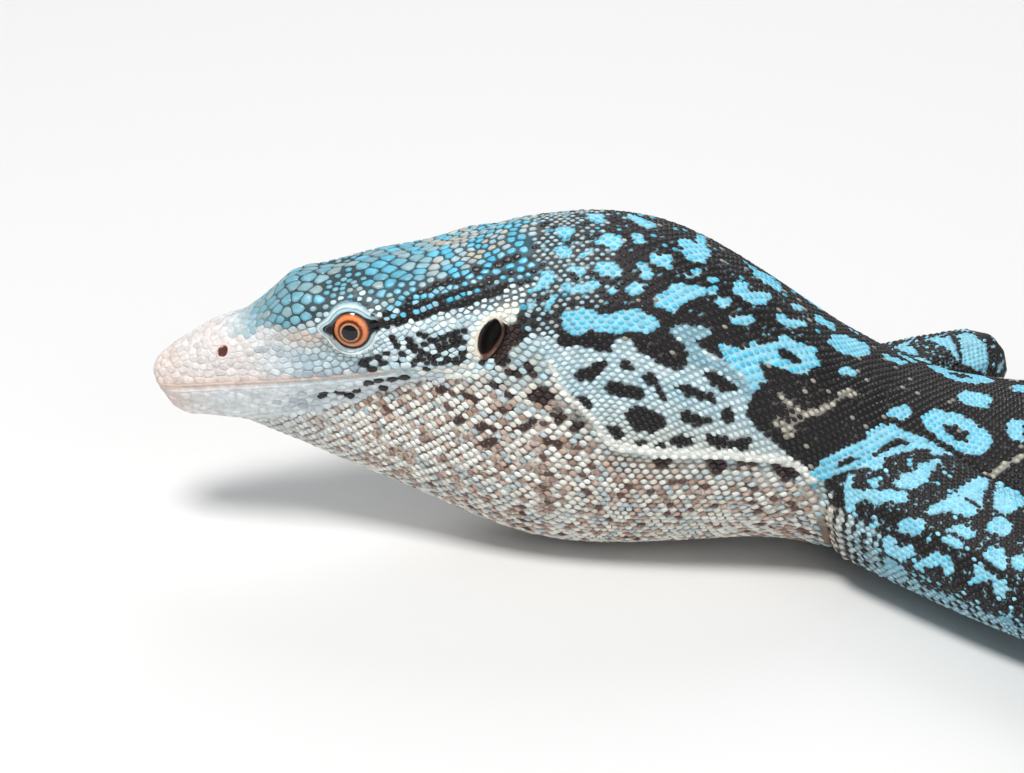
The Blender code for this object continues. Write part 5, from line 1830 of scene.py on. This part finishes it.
def make_rims():
    """The rims of the nostrils and ears, from the skin round them up over a soft edge and down inside."""
    ground = read_skin()
    finish = scaly_material("rims", 0.45, 2200, 0.00005)
    for kind, plan in OPENINGS.items():
        width, height = plan["rim"]
        outer, inner, deep = plan["outer"], plan["inner"], plan["deep"]
        profile = (
            (1.25 * width, -0.00040, outer),
            (width, 0.0, outer),
            (0.6 * width, 0.85 * height, outer),
            (0.25 * width, height, outer),
            (0.0, 0.5 * height, 0.5 * outer + 0.5 * inner),
            # From here the rim turns down into the hole through darker colours: painted shade, over the
            # nostril's reddish-brown flesh.
            (-0.12 * width, -0.5 * height, inner),
            (-0.20 * width, -0.0010, deep),
            (-0.10 * width, -0.0022, deep),
        )
        for side, label in SIDES:
            middle, along, upright, out = opening_frame(ground, kind, side)
            levels = []
            for k in range(EDGE_POINTS):
                u, v = opening_edge(plan, width, k)
                hit = ground.tree.ray_cast(middle + along * u + upright * v + out * 0.006, -out, 0.012)[0]
                levels.append((hit - middle).dot(out) if hit else 0.0)
            levels = np.convolve(np.tile(levels, 3), np.ones(7) / 7, "same")[EDGE_POINTS : 2 * EDGE_POINTS]
            rings, colours = [], []
            for past, lift, shade in profile:
                ring = []
                for k in range(EDGE_POINTS):
                    u, v = opening_edge(plan, past, k)
                    ring.append(tuple(middle + along * u + upright * v + out * (levels[k] + lift)))
                rings.append(ring)
                behind = 2.2 * np.cos(2 * math.pi * np.arange(EDGE_POINTS) / EDGE_POINTS + 0.5) * (past >= 0)
                colours.append(toward(shade, plan["rear"], behind))
            swept(f"{kind}_{label}", rings, colours, finish, ends=False)


MOUTH_LENGTH = 0.0465
SNOUT_TURN = 0.0075

# Strips along the mouth: height over its line, half their height and depth, how far they stand out, and
# colours at the snout and at the corner of the mouth. The last is a dark strip of painted shade, sunk in the
# gap between the lips and reddish towards the snout.
LIPS = (
    ("lip_upper", 0.00064, 0.00042, 0.00050, 0.00012, linear(0.86, 0.76, 0.71), linear(0.82, 0.77, 0.74)),
    ("lip_lower", -0.00060, 0.00042, 0.00050, 0.00008, linear(0.86, 0.82, 0.79), linear(0.82, 0.86, 0.87)),
    # Painted shade: a dark strip sunk in the gap between the lips.
    ("mouth_line_shade", 0.00002, 0.00026, 0.00030, -0.00010, linear(0.24, 0.12, 0.11), linear(0.09, 0.07, 0.07)),
)


def mouth_height(along):
    """How far the line of the mouth runs above the head's axis."""
    return 0.0009 * np.maximum(0.0, (along - 0.02) / 0.026) ** 2 - 0.0002


def on_lips(points):
    """Which points lie under the lips."""
    along, _, up = to_head(points)
    return (np.abs(up - mouth_height(along)) < 0.00095) & (along < MOUTH_LENGTH - 0.0008)


def mouth_path(tree, lift):
    """Points on the skin along the mouth, from its left corner round the snout to the right, and ways out."""
    back = np.linspace(MOUTH_LENGTH, SNOUT_TURN, 46)
    starts = [(along, -1.0, 0.0) for along in back]
    starts += [(SNOUT_TURN, -math.cos(t), -math.sin(t)) for t in np.linspace(0, math.pi, 26)[1:-1]]
    starts += [(along, 1.0, 0.0) for along in back[::-1]]
    path = []
    for along, side, forward in starts:
        up = float(mouth_height(along)) + lift
        start = from_head(along, 0, up)
        way = (from_head(along + forward, side, up) - start).normalized()
        path.append((tree.ray_cast(start, way)[0], way, along))
    return path


def make_lips():
    """The smooth edges of the upper and lower lip, and the dark line of painted shade between them."""
    tree = read_skin().tree
    finish = scaly_material("lips", 0.42, 2600, 0.00004)
    up = from_head(0, 0, 1) - from_head(0, 0, 0)
    turns = [2 * math.pi * k / 12 for k in range(12)]
    for name, lift, half_high, half_deep, proud, front, corner in LIPS:
        rings, colours = [], []
        for place, way, along in mouth_path(tree, lift):
            taper = min(1.0, (MOUTH_LENGTH - along) / 0.006 + 0.15)
            middle = place - way * (half_deep - proud)
            rings.append(
                [
                    tuple(middle + (way * (half_deep * math.cos(t)) + up * (half_high * math.sin(t))) * taper)
                    for t in turns
                ]
            )
            colours.append(front + (corner - front) * min(1.0, max(0.0, (along - 0.010) / 0.02)))
        swept(name, rings, colours, finish)


# Claws

# The digits of a foot from the inner to the outer: length, and degrees outwards from the foot's heading.
DIGITS = {
    "fore": ((0.013, -52), (0.019, -24), (0.023, -2), (0.022, 20), (0.016, 54)),
    "hind": ((0.015, -46), (0.022, -24), (0.030, -5), (0.036, 15), (0.020, 58)),
}
PALM_LENGTH = {"fore": 0.0110, "hind": 0.0150}
PALM_HALF_WIDTH = {"fore": 0.0070, "hind": 0.0074}
TIP_HEIGHT = 0.0017
CLAW_LENGTH = 0.0072
CLAW_RADIUS = 0.0013
CLAW_RINGS = 15


def claw_roots(limb):
    """Where each claw of a foot leaves its digit, and which way it points."""
    kind, hand = limb.split("_")
    turn_sign = -1 if hand == "left" else 1
    _, _, wrist, heading = LIMB_LINES[limb]
    heading = Vector((*heading, 0)).normalized()
    aside = Vector((-heading.y, heading.x, 0)) * turn_sign
    end = Vector((SNOUT.x + wrist[0], SNOUT.y + wrist[1], 0)) + heading * PALM_LENGTH[kind]
    for number, (reach, degrees) in enumerate(DIGITS[kind]):
        spread = (number - 2) / 2
        root = end - heading * (0.0035 + 0.0030 * spread**2) + aside * (spread * PALM_HALF_WIDTH[kind] * 0.66)
        way = Matrix.Rotation(math.radians(degrees) * turn_sign, 3, "Z") @ heading
        yield root + way * (reach + 0.0018) + Vector((0, 0, TIP_HEIGHT)), way


def on_claws(points):
    """Which points lie past the end of a digit's flesh, where its claw is."""
    found = np.zeros(len(points), bool)
    low = points[:, 2] < 0.008
    for limb in LIMB_LINES:
        for tip, way in claw_roots(limb):
            local = points - np.array(tip)
            reach = local @ np.array(way)
            aside = np.linalg.norm(local - reach[:, None] * np.array(way), axis=1)
            found |= low & (reach > 0.0006) & (reach < 0.009) & (aside < 0.0032)
    return found


def horn_material():
    """Dark horn, paler at its root, with a fine grain in its sheen and its relief."""
    made, nodes, shader = new_material("horn")
    layer = nodes.new("ShaderNodeVertexColor")
    layer.layer_name = "markings"
    place = nodes.new("ShaderNodeTexCoord")
    grain = with_values(nodes.new("ShaderNodeTexNoise"), {"Scale": 1800})
    sheen = with_values(nodes.new("ShaderNodeMapRange"), {"To Min": 0.22, "To Max": 0.45})
    bump = with_values(nodes.new("ShaderNodeBump"), {"Distance": 0.00004, "Strength": 0.6})
    wired(
        made,
        (layer, "Color", shader, "Base Color"),
        (place, "Object", grain, "Vector"),
        (grain, "Fac", sheen, "Value"),
        (sheen, "Result", shader, "Roughness"),
        (grain, "Fac", bump, "Height"),
        (bump, "Normal", shader, "Normal"),
    )
    return made


def make_claws():
    """Twenty hooked claws, each rising from its digit and curving down to a point on the floor."""
    finish = horn_material()
    upward = Vector((0, 0, 1))
    for limb in LIMB_LINES:
        for number, (tip, way) in enumerate(claw_roots(limb)):
            across = way.cross(upward).normalized()
            rings, colours = [], []
            for k in range(CLAW_RINGS):
                t = k / (CLAW_RINGS - 1)
                turn = math.radians(-30 + 105 * t)
                reach = CLAW_LENGTH * (0.62 * math.sin(turn + math.radians(30)) + 0.10 * t - 0.12)
                drop = CLAW_LENGTH * (0.16 * math.sin(math.pi * t) - 0.30 * t**2)
                radius = CLAW_RADIUS * (1 - t) ** 0.8 + 0.00010
                lean = upward * math.cos(turn) + way * math.sin(turn)
                centre = tip + way * reach + upward * (drop + 0.0004)
                ring = []
                for j in range(12):
                    angle = 2 * math.pi * j / 12
                    point = centre + across * (0.60 * radius * math.cos(angle))
                    point = point + lean * (radius * math.sin(angle))
                    point.z = max(point.z, 0.00005)
                    ring.append(tuple(point))
                rings.append(ring)
                colours.append(linear(0.36, 0.31, 0.27) * (1 - t) + linear(0.10, 0.08, 0.07) * t)
            swept(f"claw_{limb}_{number + 1}", rings, colours, finish)


# The stage

# Lights: name, place from the neck, size and power.
LIGHTS = (
    ("key", (-0.20, -0.35, 0.95), 0.28, 10.5),
    ("fill", (0.75, -0.9, 0.5), 1.0, 3.4),
    ("back", (0.2, 0.8, 0.7), 0.8, 4.0),
)
# What the camera looks at, behind the snout and over the floor, how much of it the picture is wide, and
# from how far above the level.
TARGET = (0.0607, 0.0283)
VIEW_WIDTH = 0.1727
ELEVATION = math.radians(30.0)


def make_stage():
    """A pale floor, soft lights and the camera of the photograph."""
    floor = linked("floor", bpy.data.meshes.new("floor"))
    bm = bmesh.new()
    bmesh.ops.create_grid(bm, x_segments=1, y_segments=1, size=4.0)
    bm.to_mesh(floor.data)
    bm.free()
    pale, _, shader = new_material("pale_floor")
    with_values(shader, {"Base Color": (0.72, 0.71, 0.69, 1), "Roughness": 0.8})
    floor.data.materials.append(pale)

    world = bpy.data.worlds.new("studio")
    bpy.context.scene.world = world
    world.use_nodes = True
    sky = world.node_tree.nodes["Background"]
    with_values(sky, {"Color": (0.80, 0.86, 0.95, 1), "Strength": 0.36})
    bpy.context.scene.view_settings.view_transform = "Standard"

    middle = SNOUT + Vector((0.08, 0, 0))
    for name, place, size, power in LIGHTS:
        lamp = bpy.data.lights.new(name, "AREA")
        lamp.size = size
        lamp.energy = power
        obj = linked(name, lamp)
        obj.location = middle + Vector(place)
        obj.rotation_euler = (middle - obj.location).to_track_quat("-Z", "Y").to_euler()

    camera = bpy.data.cameras.new("camera")
    camera.lens = 150.0
    camera.sensor_width = 36.0
    camera.clip_start = 0.05
    obj = linked("camera", camera)
    target = Vector((SNOUT.x + TARGET[0], SNOUT.y, TARGET[1]))
    distance = VIEW_WIDTH * camera.lens / camera.sensor_width
    obj.location = target + Vector((0, -math.cos(ELEVATION), math.sin(ELEVATION))) * distance
    obj.rotation_euler = (target - obj.location).to_track_quat("-Z", "Y").to_euler()
    bpy.context.scene.camera = obj


class MONITOR_OT_skin(bpy.types.Operator):
    """Make the skin over the flesh"""

    bl_idname = "monitor.skin"
    bl_label = "Skin"

    def execute(self, context):
        make_skin()
        return {"FINISHED"}


class MONITOR_OT_coat(bpy.types.Operator):
    """Make the coat of scales and colour the skin under it"""

    bl_idname = "monitor.coat"
    bl_label = "Coat of scales"

    def execute(self, context):
        make_coat()
        return {"FINISHED"}


class MONITOR_OT_eyes(bpy.types.Operator):
    """Make the eyeballs and the lids round them"""

    bl_idname = "monitor.eyes"
    bl_label = "Eyes and lids"

    def execute(self, context):
        make_eyes()
        make_lids()
        return {"FINISHED"}


class MONITOR_OT_face(bpy.types.Operator):
    """Make the rims of nostrils and ears, and the lips"""

    bl_idname = "monitor.face"
    bl_label = "Nostrils, ears and lips"

    def execute(self, context):
        make_rims()
        make_lips()
        return {"FINISHED"}


class MONITOR_OT_claws(bpy.types.Operator):
    """Make the claws of all four feet"""

    bl_idname = "monitor.claws"
    bl_label = "Claws"

    def execute(self, context):
        make_claws()
        return {"FINISHED"}


class MONITOR_OT_stage(bpy.types.Operator):
    """Make the floor, the lights and the camera"""

    bl_idname = "monitor.stage"
    bl_label = "Stage"

    def execute(self, context):
        make_stage()
        return {"FINISHED"}


class MONITOR_PT_panel(bpy.types.Panel):
    """Lists the settings and the pieces of the monitor"""

    bl_label = "Monitor"
    bl_idname = "MONITOR_PT_panel"
    bl_space_type = "VIEW_3D"
    bl_region_type = "UI"
    bl_category = "Monitor"

    def draw(self, context):
        for name in MonitorSettings.__annotations__:
            self.layout.prop(context.scene.monitor, name)
        for operator in OPERATORS:
            self.layout.operator(operator.bl_idname)


OPERATORS = (
    MONITOR_OT_skin,
    MONITOR_OT_coat,
    MONITOR_OT_eyes,
    MONITOR_OT_face,
    MONITOR_OT_claws,
    MONITOR_OT_stage,
)


def register():
    for kind in (MonitorSettings, *OPERATORS, MONITOR_PT_panel):
        bpy.utils.register_class(kind)
    bpy.types.Scene.monitor = bpy.props.PointerProperty(type=MonitorSettings)


def unregister():
    del bpy.types.Scene.monitor
    for kind in (MONITOR_PT_panel, *reversed(OPERATORS), MonitorSettings):
        bpy.utils.unregister_class(kind)


def main():
    register()
    bpy.ops.monitor.skin()
    bpy.ops.monitor.coat()
    bpy.ops.monitor.eyes()
    bpy.ops.monitor.face()
    bpy.ops.monitor.claws()
    bpy.ops.monitor.stage()


if __name__ == "__main__":
    main()
